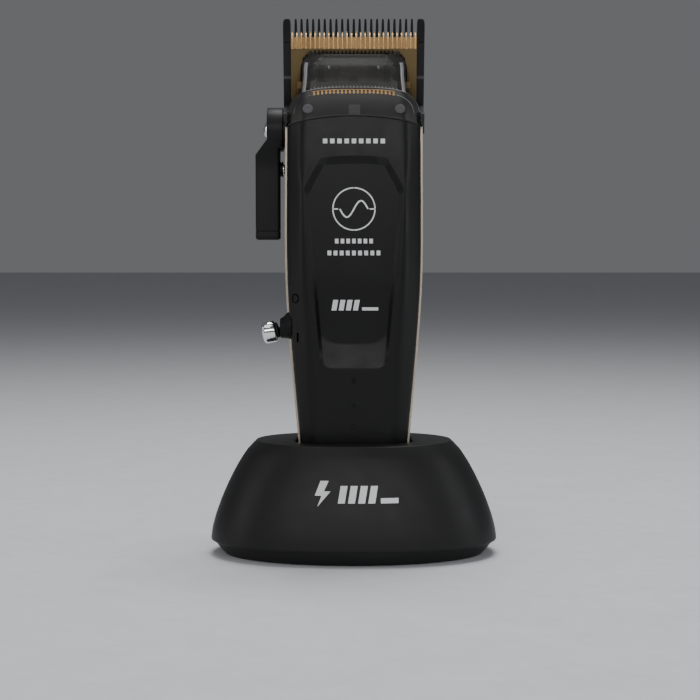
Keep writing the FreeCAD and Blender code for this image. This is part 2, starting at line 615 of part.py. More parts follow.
def dock_solid(inset, low, high):
    """The dock's outside drawn in by an inset, its rows held between two levels."""
    wires = []
    for level, share in DOCK_ROWS:
        half = size("dock_top_half") + share * (size("dock_half") - size("dock_top_half"))
        deep = size("dock_top_deep") + share * (size("dock_deep") - size("dock_top_deep"))
        place = min(max(level, low), high)
        if wires and place <= last_place:
            continue
        wires.append(oval(half - inset, deep - inset, place))
        last_place = place
    return Part.makeLoft(wires, True, True)


SCREW_PLACES = ((29, 13), (-29, 13), (29, -13), (-29, -13))
FOOT_PLACES = ((19, 17.5), (-19, 17.5), (19, -17.5), (-19, -17.5))
FOOT_RADIUS = 4.5


def well_solid(grow, low, high):
    """The tail's outside grown by a gap, between two levels inside the dock."""
    wires = []
    for level in (low, high):
        share = (level - size("tail_level")) / (size("rim_level") - size("tail_level"))
        tail = whole_outline("tail", grow)
        rim = whole_outline("rim", grow)
        points = [(a[0] + share * (b[0] - a[0]), a[1] + share * (b[1] - a[1])) for a, b in zip(tail, rim)]
        wires.append(polygon(points, level))
    return Part.makeLoft(wires, True, True)


def make_dock():
    seam = size("seam_level")
    top = size("dock_top")
    wall = size("shell_wall")
    outer = dock_solid(0, seam, top)
    inner = dock_solid(wall, seam - 0.3, top - wall)
    liner = well_solid(size("well_gap") + size("well_wall") + 0.05, 2, top + 2)
    socket_space = Part.makeBox(9.2, 12, 3.6, Vector(-4.6, 21, 7.2))
    bosses = Part.makeCompound([Part.makeCylinder(3.1, 24, Vector(x, y, seam)) for x, y in SCREW_PLACES])
    bores = Part.makeCompound([Part.makeCylinder(1.3, 10.6, Vector(x, y, seam - 1)) for x, y in SCREW_PLACES])
    shell = outer.cut(inner).fuse(bosses.common(outer)).cut(bores).cut(liner).cut(socket_space)
    keep("dock_shell", solid("dock_shell", shell.removeSplitter()))

    bottom = size("base_level")
    foot = oval(size("dock_foot_half"), size("dock_foot_deep"), bottom)
    edge = oval(size("dock_half") - 0.6, size("dock_deep") - 0.6, seam - 0.02)
    base = Part.makeLoft([foot, edge], True, True)
    tray = Part.makeLoft([oval(40, 23.5, 2.3), oval(40, 23.5, seam + 1)], True, True)
    bosses_low = Part.makeCompound([Part.makeCylinder(3.6, seam - 0.02 - 1.5, Vector(x, y, 1.5))
                                    for x, y in SCREW_PLACES])
    base = base.cut(tray).fuse(bosses_low)
    base = base.cut(Part.makeCompound([Part.makeCylinder(1.45, 9, Vector(x, y, 0)) for x, y in SCREW_PLACES]))
    heads = [Part.makeCylinder(2.8, 2.2, Vector(x, y, 0)) for x, y in SCREW_PLACES]
    base = base.cut(Part.makeCompound(heads))
    feet = Part.makeCompound([Part.makeCylinder(FOOT_RADIUS, 1.0, Vector(x, y, 0)) for x, y in FOOT_PLACES])
    base = base.cut(feet)
    keep("dock_base", solid("dock_base", base.removeSplitter()))
    keep("dock_feet", solid("dock_feet", feet))

    screws = [Part.makeCylinder(1.25, 12, Vector(x, y, 2.2)).fuse(
        Part.makeCylinder(2.6, 1.4, Vector(x, y, 0.8))) for x, y in SCREW_PLACES]
    keep("dock_screws", solid("dock_screws", Part.makeCompound(screws)))

    gap = size("well_gap")
    floor = size("well_floor")
    well = well_solid(gap + size("well_wall"), floor, top)
    well = well.cut(well_solid(gap, size("cap_bottom") - 0.3, top + 1))
    pin_holes = holes([(side * size("pin_x"), 0, 0) for side in (-1, 1)], 1.3, Vector(0, 0, floor - 1), 4,
                      Vector(0, 0, 1))
    keep("dock_well", solid("dock_well", well.cut(pin_holes)))


def make_dock_inside():
    block = box("pin_block_blank", (-8.5, 8.5), (-3.5, 3.5), (6, "well_floor - 0.02"))
    bores = [rod("pin_bore", "pin_radius + 0.05", (x, 0, 6.6), 8) for x in ("pin_x", "-pin_x")]
    keep("pin_block", cut("pin_block", block, *bores))
    pins = [rod("pin", "pin_radius", (x, 0, 7.9), "pin_top - 7.9") for x in ("pin_x", "-pin_x")]
    keep("charging_pins", group("charging_pins", *pins))
    keep("dock_board", box("dock_board", (-14, 14), (-9, 19), (4.9, 6)))
    keep("ballast_plate", box("ballast_plate", (-22, 22), (-16, 16), (2.32, 4.6)))
    jack = box("jack_blank", (-4.5, 4.5), (21.2, 28.6), (7.3, 10.7))
    mouth = box("jack_mouth", (-4.1, 4.1), (23, 30), (7.8, 10.2))
    keep("dock_socket", cut("dock_socket", jack, mouth))


# ---------------------------------------------------------------- build and write

make_housing()
make_tail()
make_collar()
make_vent_comb()
make_fixed_blade()
make_blade_screws()
make_moving_blade()
make_drive_yoke()
make_blade_guide()
make_nose_frame()
make_hood()
make_motor()
make_lever()
make_toggle()
make_electronics()
make_dock()
make_dock_inside()

doc.recompute()
for item in doc.Objects:
    if "Invalid" in item.State or "Error" in item.State:
        raise RuntimeError("%s: %s" % (item.Label, item.State))

os.makedirs("parts", exist_ok=True)
for item in subparts:
    if item.Shape.isNull() or not item.Shape.isValid():
        raise RuntimeError("%s has no valid shape" % item.Label)
    item.Shape.exportStep("parts/%s.step" % item.Label)
print("wrote %d sub-parts" % len(subparts))
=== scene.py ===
import math

import bmesh
import bpy
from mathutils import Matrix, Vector
from mathutils.bvhtree import BVHTree


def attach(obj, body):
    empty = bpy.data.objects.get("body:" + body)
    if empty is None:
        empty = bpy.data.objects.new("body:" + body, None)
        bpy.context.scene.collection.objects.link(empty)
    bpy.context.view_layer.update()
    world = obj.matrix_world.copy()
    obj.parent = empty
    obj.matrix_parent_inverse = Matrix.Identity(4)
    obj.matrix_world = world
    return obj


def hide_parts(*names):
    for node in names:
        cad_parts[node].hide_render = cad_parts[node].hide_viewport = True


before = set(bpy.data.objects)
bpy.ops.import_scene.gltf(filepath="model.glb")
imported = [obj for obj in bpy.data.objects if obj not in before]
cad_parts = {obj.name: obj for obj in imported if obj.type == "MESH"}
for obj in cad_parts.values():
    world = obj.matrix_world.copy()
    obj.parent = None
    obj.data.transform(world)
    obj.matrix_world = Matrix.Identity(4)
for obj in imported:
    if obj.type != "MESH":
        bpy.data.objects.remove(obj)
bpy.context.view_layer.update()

# A hair clipper in its charging dock. Shapes are worked out in millimetres in the row frame
# (+Z up, front towards -Y) and turned into metres when a mesh is made.

MM = 0.001
TIP_Y, TIP_Z = 3.0, 175.3
TILT = math.radians(15)
TRIM_FRONT, TRIM_BACK = -7.5, -6.0
LEDGE = 0.7
BACK_SLOPE, BACK_CROWN = 8.0, 0.35
TAIL_Z, SEAM_Z = 16.0, 140.6
SEAT_BACK_Z, SEAT_FRONT_Y = -40.05, -14.6


# ---------------------------------------------------------------- small tools

def smooth_table(table, key, column):
    """Smooth curve through the rows of a table, by their key in column 0."""
    keys = [row[0] for row in table]
    values = [row[column] for row in table]
    if key <= keys[0]:
        return values[0]
    if key >= keys[-1]:
        return values[-1]
    index = max(i for i in range(len(keys) - 1) if keys[i] <= key)

    def slope(i):
        low, high = max(i - 1, 0), min(i + 1, len(keys) - 1)
        return (values[high] - values[low]) / (keys[high] - keys[low])

    span = keys[index + 1] - keys[index]
    t = (key - keys[index]) / span
    first, last = values[index], values[index + 1]
    return ((2 * t ** 3 - 3 * t ** 2 + 1) * first + (t ** 3 - 2 * t ** 2 + t) * span * slope(index)
            + (-2 * t ** 3 + 3 * t ** 2) * last + (t ** 3 - t ** 2) * span * slope(index + 1))


def spread(low, high, count):
    """Evenly spaced numbers, both ends included."""
    return [low + (high - low) * step / (count - 1) for step in range(count)]


def corner(a, b, c, radius, count):
    """Points round a corner b between a and c, as a quadratic curve."""
    a, b, c = Vector(a), Vector(b), Vector(c)
    start = b + (a - b).normalized() * min(radius, (a - b).length * 0.49)
    end = b + (c - b).normalized() * min(radius, (c - b).length * 0.49)
    points = []
    for t in spread(0, 1, count):
        points.append(tuple((1 - t) ** 2 * start + 2 * t * (1 - t) * b + t ** 2 * end))
    return points


def rounded_outline(points, radius, count=5):
    """A closed outline with every corner rounded."""
    total = len(points)
    outline = []
    for i, point in enumerate(points):
        outline += corner(points[i - 1], point, points[(i + 1) % total], radius, count)
    return outline


def from_blade(x, y, z):
    """A point of the tilted blade frame, in the row frame."""
    return (x, TIP_Y + y * math.cos(TILT) - z * math.sin(TILT),
            TIP_Z + y * math.sin(TILT) + z * math.cos(TILT))


def blade_face(x, z, depth):
    """A point of the blade frame with the depth last, in the order that prism gives."""
    return from_blade(x, depth, z)


def face_outward(work):
    """Turns an open skin so that its faces look away from its middle."""
    if not any(edge.is_boundary for edge in work.edges):
        return
    middle = sum((vert.co for vert in work.verts), Vector()) / len(work.verts)
    outward = sum(face.normal.dot(face.calc_center_median() - middle) * face.calc_area()
                  for face in work.faces)
    if outward < 0:
        bmesh.ops.reverse_faces(work, faces=work.faces)


class Shell:
    """Collects vertices and faces for one mesh, in millimetres."""

    def __init__(self):
        self.points = []
        self.faces = []

    def add(self, points, faces):
        start = len(self.points)
        self.points += [tuple(point) for point in points]
        self.faces += [tuple(start + corner_index for corner_index in face) for face in faces]

    def grid(self, rows, closed=False):
        """A sheet of quads through rows of points; closed joins each row's ends."""
        width = len(rows[0])
        faces = []
        for r in range(len(rows) - 1):
            for c in range(width if closed else width - 1):
                nxt = (c + 1) % width
                faces.append((r * width + c, r * width + nxt, (r + 1) * width + nxt, (r + 1) * width + c))
        self.add([point for row in rows for point in row], faces)

    def tube(self, rings):
        """A closed solid through rings, with a fan-free cap at each end."""
        start = len(self.points)
        self.grid(rings, closed=True)
        width = len(rings[0])
        last = start + (len(rings) - 1) * width
        self.faces.append(tuple(start + c for c in reversed(range(width))))
        self.faces.append(tuple(last + c for c in range(width)))

    def loop(self, rings):
        """Rings joined first to last, like a picture frame's section."""
        self.grid(list(rings) + [rings[0]], closed=True)

    def block(self, low, high, place=None, taper=0.0):
        """A box between two corners; taper narrows it in X towards its high Z end."""
        corners = []
        for z in (low[2], high[2]):
            cut_in = taper if z == high[2] else 0.0
            for x, y in ((low[0] + cut_in, low[1]), (high[0] - cut_in, low[1]),
                         (high[0] - cut_in, high[1]), (low[0] + cut_in, high[1])):
                corners.append((x, y, z))
        if place:
            corners = [place(*point) for point in corners]
        self.add(corners, [(3, 2, 1, 0), (4, 5, 6, 7), (0, 1, 5, 4), (1, 2, 6, 5), (2, 3, 7, 6),
                           (3, 0, 4, 7)])

    def prism(self, outline, low, high, place):
        """An outline carried from one depth to another; place maps (u, v, depth) to a point."""
        rings = [[place(u, v, depth) for u, v in outline] for depth in (low, high)]
        self.tube(rings)

    def turned(self, profile, place, count=48):
        """A profile of (radius, height) turned about its axis; place maps (x, y, height)."""
        rings = []
        for radius, height in profile:
            rings.append([place(max(radius, 0.02) * math.cos(2 * math.pi * k / count),
                                max(radius, 0.02) * math.sin(2 * math.pi * k / count), height)
                          for k in range(count)])
        self.tube(rings)

    def surface_tree(self):
        """A search tree of the collected faces, for laying marks on them."""
        return BVHTree.FromPolygons([Vector(point) for point in self.points], self.faces)

    def build(self, name):
        mesh = bpy.data.meshes.new(name)
        mesh.from_pydata([tuple(value * MM for value in point) for point in self.points], [], self.faces)
        work = bmesh.new()
        work.from_mesh(mesh)
        bmesh.ops.remove_doubles(work, verts=work.verts, dist=1e-7)
        bmesh.ops.recalc_face_normals(work, faces=work.faces)
        face_outward(work)
        work.to_mesh(mesh)
        work.free()
        obj = bpy.data.objects.new(name, mesh)
        bpy.context.scene.collection.objects.link(obj)
        return obj


def soften(obj, width, segments=3, angle=30):
    """Rounds every edge sharper than the angle, by a width in millimetres."""
    for polygon in obj.data.polygons:
        polygon.use_smooth = True
    obj.data.set_sharp_from_angle(angle=math.radians(angle))
    if width:
        bevel = obj.modifiers.new("edges", "BEVEL")
        bevel.width = width * MM
        bevel.segments = segments
        bevel.limit_method = "ANGLE"
        bevel.angle_limit = math.radians(angle)
        bevel.harden_normals = True
        bevel.use_clamp_overlap = True


def thicken(obj, thickness):
    """Turns a sheet into a wall that grows inwards from it."""
    wall = obj.modifiers.new("wall", "SOLIDIFY")
    wall.thickness = thickness * MM
    wall.offset = -1.0


def carve(obj, tool):
    """Cuts one closed mesh out of another and drops the tool."""
    cutter = obj.modifiers.new("opening", "BOOLEAN")
    cutter.object = tool
    cutter.operation = "DIFFERENCE"
    cutter.solver = "EXACT"
    bpy.context.view_layer.update()
    evaluated = obj.evaluated_get(bpy.context.evaluated_depsgraph_get())
    carved = bpy.data.meshes.new_from_object(evaluated)
    obj.modifiers.clear()
    obj.data = carved
    bpy.data.objects.remove(tool)


def finish_piece(shell, name, body, finish, nodes=(), width=0.2, segments=3, angle=30,
                 wall=0.0, cuts=()):
    """Builds a shell's mesh, with its wall, openings and rounded edges, and puts it on its body."""
    obj = shell.build(name)
    if wall:
        thicken(obj, wall)
    for cut in cuts:
        carve(obj, cut.build(name + "_cut"))
    soften(obj, width, segments, angle)
    obj.data.materials.append(MATERIALS[finish])
    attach(obj, body)
    if nodes:
        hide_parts(*nodes)


# ---------------------------------------------------------------- materials

def surface(name, colour, roughness, metallic=0.0, vary=0.25, grain=900.0, bump=0.02, wear=0.0,
            rough_span=0.08, stretch=(1, 1, 1), alpha=1.0, shine=0.5, wear_colour=None):
    """A finish with cloudy colour, uneven gloss, a fine grain and worn edges."""
    mat = bpy.data.materials.new(name)
    mat.use_nodes = True
    nodes, links = mat.node_tree.nodes, mat.node_tree.links
    shader = nodes["Principled BSDF"]
    shader.inputs["Metallic"].default_value = metallic
    shader.inputs["Alpha"].default_value = alpha
    shader.inputs["Specular IOR Level"].default_value = shine
    place = nodes.new("ShaderNodeTexCoord")
    scale = nodes.new("ShaderNodeMapping")
    scale.inputs["Scale"].default_value = stretch
    links.new(place.outputs["Object"], scale.inputs["Vector"])

    def noise(size, detail=3.0):
        node = nodes.new("ShaderNodeTexNoise")
        node.inputs["Scale"].default_value = size
        node.inputs["Detail"].default_value = detail
        links.new(scale.outputs["Vector"], node.inputs["Vector"])
        return node

    cloud = noise(45.0)
    ramp = nodes.new("ShaderNodeValToRGB")
    ramp.color_ramp.elements[0].position = 0.32
    ramp.color_ramp.elements[1].position = 0.68
    ramp.color_ramp.elements[0].color = (*[c * (1 - vary) for c in colour], 1)
    ramp.color_ramp.elements[1].color = (*[min(c * (1 + vary), 1) for c in colour], 1)
    links.new(cloud.outputs["Fac"], ramp.inputs["Fac"])
    colour_out = ramp.outputs["Color"]
    if wear:
        edge = nodes.new("ShaderNodeNewGeometry")
        pick = nodes.new("ShaderNodeMapRange")
        pick.inputs["From Min"].default_value = 0.53
        pick.inputs["From Max"].default_value = 0.62
        pick.inputs["To Max"].default_value = wear
        links.new(edge.outputs["Pointiness"], pick.inputs["Value"])
        blend = nodes.new("ShaderNodeMix")
        blend.data_type = "RGBA"
        links.new(pick.outputs["Result"], blend.inputs[0])
        links.new(colour_out, blend.inputs[6])
        blend.inputs[7].default_value = (*(wear_colour or [min(c * 3 + 0.02, 1) for c in colour]), 1)
        colour_out = blend.outputs[2]
    links.new(colour_out, shader.inputs["Base Color"])

    gloss = noise(160.0, 5.0)
    rough = nodes.new("ShaderNodeMapRange")
    rough.inputs["From Min"].default_value = 0.3
    rough.inputs["From Max"].default_value = 0.7
    rough.inputs["To Min"].default_value = max(roughness - rough_span, 0.02)
    rough.inputs["To Max"].default_value = roughness + rough_span
    links.new(gloss.outputs["Fac"], rough.inputs["Value"])
    links.new(rough.outputs["Result"], shader.inputs["Roughness"])

    fine = noise(grain, 2.0)
    relief = nodes.new("ShaderNodeBump")
    relief.inputs["Strength"].default_value = 0.6
    relief.inputs["Distance"].default_value = bump * MM
    links.new(fine.outputs["Fac"], relief.inputs["Height"])
    links.new(relief.outputs["Normal"], shader.inputs["Normal"])
    return mat


def grey(value):
    """A neutral colour."""
    return (value, value, value)


# What each finish is made of, by name
FINISHES = {
    "housing_black": dict(colour=grey(0.0026), roughness=0.42, grain=5200, bump=0.016, vary=0.08,
        rough_span=0.04, wear=0.2, shine=0.25),
    "dock_black": dict(colour=(0.0085, 0.0085, 0.0086), roughness=0.46, grain=4200, bump=0.01, vary=0.07,
        rough_span=0.04, shine=0.24),
    "base_black": dict(colour=grey(0.008), roughness=0.48, grain=2600, bump=0.03, vary=0.1, shine=0.35),
    "liner_black": dict(colour=grey(0.004), roughness=0.55, grain=2400, bump=0.03, vary=0.1, shine=0.2),
    "lever_black": dict(colour=grey(0.0032), roughness=0.46, grain=3600, bump=0.016, vary=0.08,
        rough_span=0.05, wear=0.25, shine=0.22),
    "trim_bronze": dict(colour=(0.5, 0.42, 0.34), roughness=0.42, metallic=1.0, grain=1800, bump=0.006,
        stretch=(1, 1, 0.12), vary=0.1),
    "smoked_collar": dict(colour=(0.0165, 0.016, 0.0155), roughness=0.4, grain=1500, bump=0.004, alpha=0.97,
        rough_span=0.04, vary=0.06, shine=0.3),
    # Light grey standing for the light that the clear plastic catches: a painted highlight.
    "rim_highlight_grey": dict(colour=grey(0.24), roughness=0.12, grain=900, bump=0.002, vary=0.12,
        rough_span=0.05),
    "smoked_hood": dict(colour=(0.062, 0.06, 0.057), roughness=0.22, grain=700, bump=0.002, alpha=0.32,
        rough_span=0.03, vary=0.05, shine=0.3),
    "frame_grey": dict(colour=(0.02, 0.02, 0.021), roughness=0.48, metallic=0.4, grain=2200, bump=0.03,
        vary=0.12, wear=0.3),
    "blade_black": dict(colour=(0.0048, 0.0048, 0.0054), roughness=0.35, metallic=0.4, grain=1500,
        bump=0.004, stretch=(1, 1, 0.08), vary=0.12, wear=0.25, wear_colour=(0.07, 0.07, 0.075),
        shine=0.35),
    "blade_gold": dict(colour=(0.45, 0.3, 0.15), roughness=0.28, metallic=1.0, grain=1600, bump=0.002,
        stretch=(1, 1, 0.07), vary=0.07, rough_span=0.05),
    # Darker copies of the blade gold: painted shade for the moving blade's flat body and its ramp, which
    # look darker than the teeth.
    "blade_gold_ramp_shade": dict(colour=(0.145, 0.086, 0.036), roughness=0.36, metallic=1.0, grain=1600, bump=0.002,
        stretch=(1, 1, 0.07), vary=0.1, rough_span=0.05),
    "blade_gold_flat_shade": dict(colour=(0.165, 0.119, 0.058), roughness=0.36, metallic=1.0, grain=1600, bump=0.002,
        stretch=(1, 1, 0.07), vary=0.08, rough_span=0.05),
    "gold_trim": dict(colour=(0.3, 0.19, 0.09), roughness=0.36, metallic=1.0, grain=1500, bump=0.003,
        vary=0.08),
    "chrome": dict(colour=(0.78, 0.79, 0.8), roughness=0.1, metallic=1.0, grain=700, bump=0.001, vary=0.04,
        rough_span=0.04),
    "steel": dict(colour=(0.42, 0.42, 0.43), roughness=0.32, metallic=1.0, grain=1700, bump=0.006,
        stretch=(0.1, 1, 1), vary=0.1),
    "screw_dark": dict(colour=(0.05, 0.049, 0.053), roughness=0.5, metallic=0.2, grain=1700, bump=0.006,
        vary=0.1),
    "contact_gold": dict(colour=(0.7, 0.48, 0.2), roughness=0.25, metallic=1.0, grain=1500, bump=0.004),
    "port_steel": dict(colour=(0.4, 0.4, 0.42), roughness=0.35, metallic=1.0, grain=1500, bump=0.005),
    "motor_metal": dict(colour=(0.32, 0.32, 0.33), roughness=0.36, metallic=1.0, grain=1700, bump=0.008,
        stretch=(1, 1, 0.1)),
    "cell_wrap": dict(colour=(0.03, 0.12, 0.4), roughness=0.28, grain=800, bump=0.02),
    "board_green": dict(colour=(0.01, 0.09, 0.035), roughness=0.34, grain=900, bump=0.03),
    "yoke_pale": dict(colour=(0.1, 0.1, 0.092), roughness=0.7, grain=2200, bump=0.015, vary=0.08,
        shine=0.2),
    "yoke_web": dict(colour=(0.048, 0.045, 0.042), roughness=0.7, grain=2200, bump=0.015, vary=0.08,
        shine=0.2),
    "yoke_dark": dict(colour=(0.075, 0.068, 0.06), roughness=0.7, grain=2200, bump=0.015, vary=0.08,
        shine=0.2),
    "lens_smoke": dict(colour=grey(0.006), roughness=0.2, grain=900, bump=0.002),
    "foot_rubber": dict(colour=grey(0.02), roughness=0.75, grain=2600, bump=0.06),
    "print_silver": dict(colour=(0.62, 0.62, 0.63), roughness=0.45, grain=2600, bump=0.003, vary=0.1),
    "print_dim": dict(colour=(0.0215, 0.021, 0.0198), roughness=0.45, grain=2600, bump=0.004, vary=0.1),
    "print_ink": dict(colour=grey(0.0006), roughness=0.9, grain=2600, bump=0.004, vary=0.1, shine=0.0),
    "print_faint": dict(colour=grey(0.002), roughness=0.5, grain=2600, bump=0.004, vary=0.1, shine=0.16),
    # Translucent light grey for the bright streaks on the hood's sides: a painted highlight.
    "hood_glint_grey": dict(colour=(0.27, 0.27, 0.285), roughness=0.2, grain=900, bump=0.002, vary=0.15,
        alpha=0.7, rough_span=0.06),
}

MATERIALS = {name: surface(name, **look) for name, look in FINISHES.items()}


# ---------------------------------------------------------------- housing

# height, half width, front, back, half width of the front facet
STATIONS = ((16, 16.2, -11.2, 11.2, 11), (37.8, 18.1, -13, 13.4, 12.4), (69.7, 20.9, -15.6, 16.4, 14.2),
            (92.7, 22.2, -17, 18.6, 16), (128, 22.2, -17, 18.4, 16.6), (140.6, 22.1, -15.8, 16.2, 16.2))


def half_at(z):
    return smooth_table(STATIONS, z, 1)


def front_at(z):
    return smooth_table(STATIONS, z, 2)


def back_at(z):
    return smooth_table(STATIONS, z, 3)


def facet_at(z):
    return smooth_table(STATIONS, z, 4)


def bevel_at(front):
    return front + 0.6 * (TRIM_FRONT - front)


def ease(t):
    """A soft step from 0 to 1."""
    t = min(max(t, 0.0), 1.0)
    return t * t * (3 - 2 * t)


def seam_at(x):
    """Lower edge of the nose collar: a shallow arch over the front."""
    return 142.4 - 1.3 * (x / 14.7) ** 2


# The sunken panel: outline half width by height, and how deep its floor lies
PANEL_TOP, PANEL_SHOULDER, PANEL_FOOT, PANEL_END = 129.2, 119.8, 66.0, 62.1
PANEL_DEPTH = 1.1
SCOOP_TOP, SCOOP_DEPTH, SINK_TOP = 69.8, 2.3, 92.0


def panel_half(z):
    """Half width of the panel's outline at a height."""
    rows = ((PANEL_END, 7.8), (PANEL_END + 0.5, 9.1), (PANEL_END + 1.4, 10.2), (PANEL_FOOT - 1.4, 10.9),
            (PANEL_FOOT + 0.5, 11.0), (PANEL_SHOULDER, 15.8), (PANEL_TOP, 10.6))
    z = min(max(z, PANEL_END), PANEL_TOP)
    for (low, a), (high, b) in zip(rows, rows[1:]):
        if z <= high:
            return a + (b - a) * (z - low) / (high - low)
    return rows[-1][1]


def panel_arch(x):
    """Rise of the panel's top edge over its corners."""
    return 0.8 * max(0.0, 1 - (x / 10.6) ** 2)


def wall_band(z):
    """Width of the sloping wall inside the outline."""
    return 1.0 + 1.3 * ease((z - PANEL_SHOULDER + 2.6) / 2.6)


def floor_depth(x, z):
    """Depth of the panel's floor: it sinks towards the thumb scoop, then ramps out again."""
    edge = SCOOP_TOP + 2.9 * (abs(x) / 10) ** 5
    if z >= edge:
        return PANEL_DEPTH + (SCOOP_DEPTH - PANEL_DEPTH) * ease((SINK_TOP - z) / (SINK_TOP - edge))
    return SCOOP_DEPTH * (z - PANEL_END) / (edge - PANEL_END)


def front_rows():
    """Heights of the front skin, with close pairs at the panel's top and foot."""
    rows = spread(TAIL_Z, 61.2, 22) + [PANEL_END] + spread(PANEL_END + 0.3, 73.5, 26)
    rows += spread(75.5, PANEL_SHOULDER - 3.2, 20) + spread(PANEL_SHOULDER - 2.6, PANEL_SHOULDER, 9)
    rows += spread(121, PANEL_TOP - 2.35, 7)
    rows += [PANEL_TOP - 2.3, PANEL_TOP, PANEL_TOP + 0.5] + spread(131, SEAM_Z, 8)
    return rows


def front_row(z):
    """One row of the front skin, from its -X edge to its +X edge."""
    front, facet, half = front_at(z), facet_at(z), half_at(z) - LEDGE
    outline = min(panel_half(z), facet - 0.5)
    band = wall_band(z)
    side = []
    for t in spread(0, 1, 13):
        x = t * (outline - band)
        depth = 0.0
        if PANEL_END < z <= PANEL_TOP - 2.3:
            depth = floor_depth(x, z)
        elif PANEL_TOP - 2.3 < z < PANEL_TOP:
            depth = PANEL_DEPTH * (PANEL_TOP - z) / 2.3
        rise = panel_arch(x) if z > PANEL_SHOULDER else 0.0
        rise *= (z - PANEL_SHOULDER) / (PANEL_TOP - PANEL_SHOULDER) if z < PANEL_TOP else 1.0
        fade = 1.0 if z <= PANEL_TOP + 0.5 else max(0.0, 1 - (z - PANEL_TOP - 0.5) / 6)
        side.append((x, front + depth, z + rise * fade))
    side.append((outline, front, z))
    flat_end = facet - min(2.4, 0.49 * (facet - outline))
    for x in spread(outline + 0.1, flat_end - 0.1, 5):
        side.append((x, front, z))
    shoulder = (half, bevel_at(front))
    side += [(x, y, z) for x, y in corner((outline, front), (facet, front), shoulder, 2.4, 7)[1:]]
    side += [(x, y, z) for x, y in corner((facet, front), shoulder, (half, TRIM_FRONT), 2.0, 7)]
    side.append((half, TRIM_FRONT, z))
    row = [(-x, y, level) for x, y, level in reversed(side[1:])] + side
    lift = max(0.0, (z - 131) / (SEAM_Z - 131))
    return [(x, y, level + lift * (seam_at(x) - SEAM_Z)) for x, y, level in row]


def make_front_housing():
    skin = Shell()
    skin.grid([front_row(z) for z in front_rows()])
    finish_piece(skin, "front_housing_skin", "clipper", "housing_black",
                 ["front_housing"], width=0.16, angle=24, wall=0.9)
    return skin.surface_tree()


def rear_top(y):
    """Top edge of the rear shell: it drops behind the lever and rises to the blade's heel."""
    front_edge = TIP_Y + (SEAT_FRONT_Y + (TIP_Z - SEAM_Z) * math.sin(TILT)) / math.cos(TILT)
    low_y, low_z = from_blade(0, SEAT_FRONT_Y, SEAT_BACK_Z)[1:]
    if y <= front_edge:
        return SEAM_Z - 0.8
    if y <= low_y:
        return SEAM_Z - 0.8 + (y - front_edge) / (low_y - front_edge) * (low_z - SEAM_Z + 0.8)
    return low_z + (y - low_y) * math.tan(TILT)


def rear_row_points(z):
    """One side of the rear shell's outline at a height, from the trim to the middle of the back."""
    half, back = half_at(z), back_at(z)
    side = [(half, TRIM_BACK), (half, -3.6), (half, -2.85), (half, -0.7), (half, 1.0)]
    flank, shoulder = (half, back - BACK_SLOPE), (half - BACK_SLOPE, back)
    side += corner((half, 1.0), flank, shoulder, 4.2, 9)
    side += corner(flank, shoulder, (0, back), 5.5, 9)
    end = side[-1][0]
    side += [(end * share, back + BACK_CROWN * (1 - share ** 2)) for share in (0.8, 0.6, 0.4, 0.2, 0.0)]
    return side


# The bores for the two screws at the foot of the back
BORE_X, BORE_Z, BORE_RADIUS = 6.0, 24.5, 2.4


def make_rear_housing():
    rows = []
    top_row = [rear_top(y) for _, y in rear_row_points(SEAM_Z - 4)]
    for t in spread(0, 1, 60):
        row = []
        for column in range(len(top_row)):
            z = TAIL_Z + t * (top_row[column] - TAIL_Z)
            x, y = rear_row_points(z)[column]
            row.append((x, y, z))
        rows.append(row + [(-x, y, z) for x, y, z in reversed(row[:-1])])
    skin = Shell()
    skin.grid(rows)
    bores = []
    for x in (-BORE_X, BORE_X):
        bore = Shell()
        bore.turned([(BORE_RADIUS, 9.0), (BORE_RADIUS, 20.0)],
                    lambda u, v, level, x=x: (x + u, level, BORE_Z + v), 40)
        bores.append(bore)
    finish_piece(skin, "rear_housing_skin", "clipper", "housing_black", ["rear_housing"],
                 width=0.0, angle=35, wall=1.6, cuts=bores)


def make_side_trim():
    """Metallic band between the shells; its front edge stands proud as a thin line."""
    band = Shell()
    below_boss, above_boss = 71.1, 79.7
    for side in (-1, 1):
        spans = [(TAIL_Z, SEAM_Z - 1)]
        if side < 0:
            spans = [(TAIL_Z, below_boss), (above_boss, SEAM_Z - 1)]
        for low, high in spans:
            rings = []
            for z in spread(low, high, 40):
                x = half_at(z)
                ring = [(x - 1.4, TRIM_FRONT + 0.02), (x - 0.12, TRIM_FRONT + 0.02), (x, TRIM_FRONT + 0.14),
                        (x, TRIM_BACK - 0.02), (x - 1.4, TRIM_BACK - 0.02)]
                rings.append([(side * px, py, z) for px, py in ring])
            band.tube(rings)
    finish_piece(band, "side_trim_band", "clipper", "trim_bronze", ["side_trim"],
                 width=0.0)


# ---------------------------------------------------------------- nose collar, vent comb and hood

ARCH_HALF, ARCH_FOOT, ARCH_RISE, ARCH_POWER = 20.6, 141.0, 10.7, 3.4
COLLAR_BACK = -3.4


def arch_point(turn, grow=0.0):
    """The collar's rim seen from the front; turn runs from -90 to 90 degrees over the arch."""
    s, c = math.sin(math.radians(turn)), math.cos(math.radians(turn))
    power = 2 / ARCH_POWER
    return (math.copysign(abs(s) ** power, s) * (ARCH_HALF + grow),
            ARCH_FOOT + abs(c) ** power * (ARCH_RISE + grow))


def arch_height(x):
    """Height of the rim over a place on the front."""
    share = min(abs(x) / ARCH_HALF, 1.0)
    return ARCH_FOOT + ARCH_RISE * (1 - share ** ARCH_POWER) ** (1 / ARCH_POWER)


def plate_front(x, z):
    """Front of the collar's plate: it leans back, and its sides turn back like the housing's."""
    lean = min(max((z - 139.6) / 12.2, 0.0), 1.0)
    over = max(abs(x) - 14.2, 0.0)
    turn_back = over * over / 6.8 if over < 3.4 else over - 1.7
    return -15.8 + 5.6 * lean ** 1.7 + 0.95 * turn_back


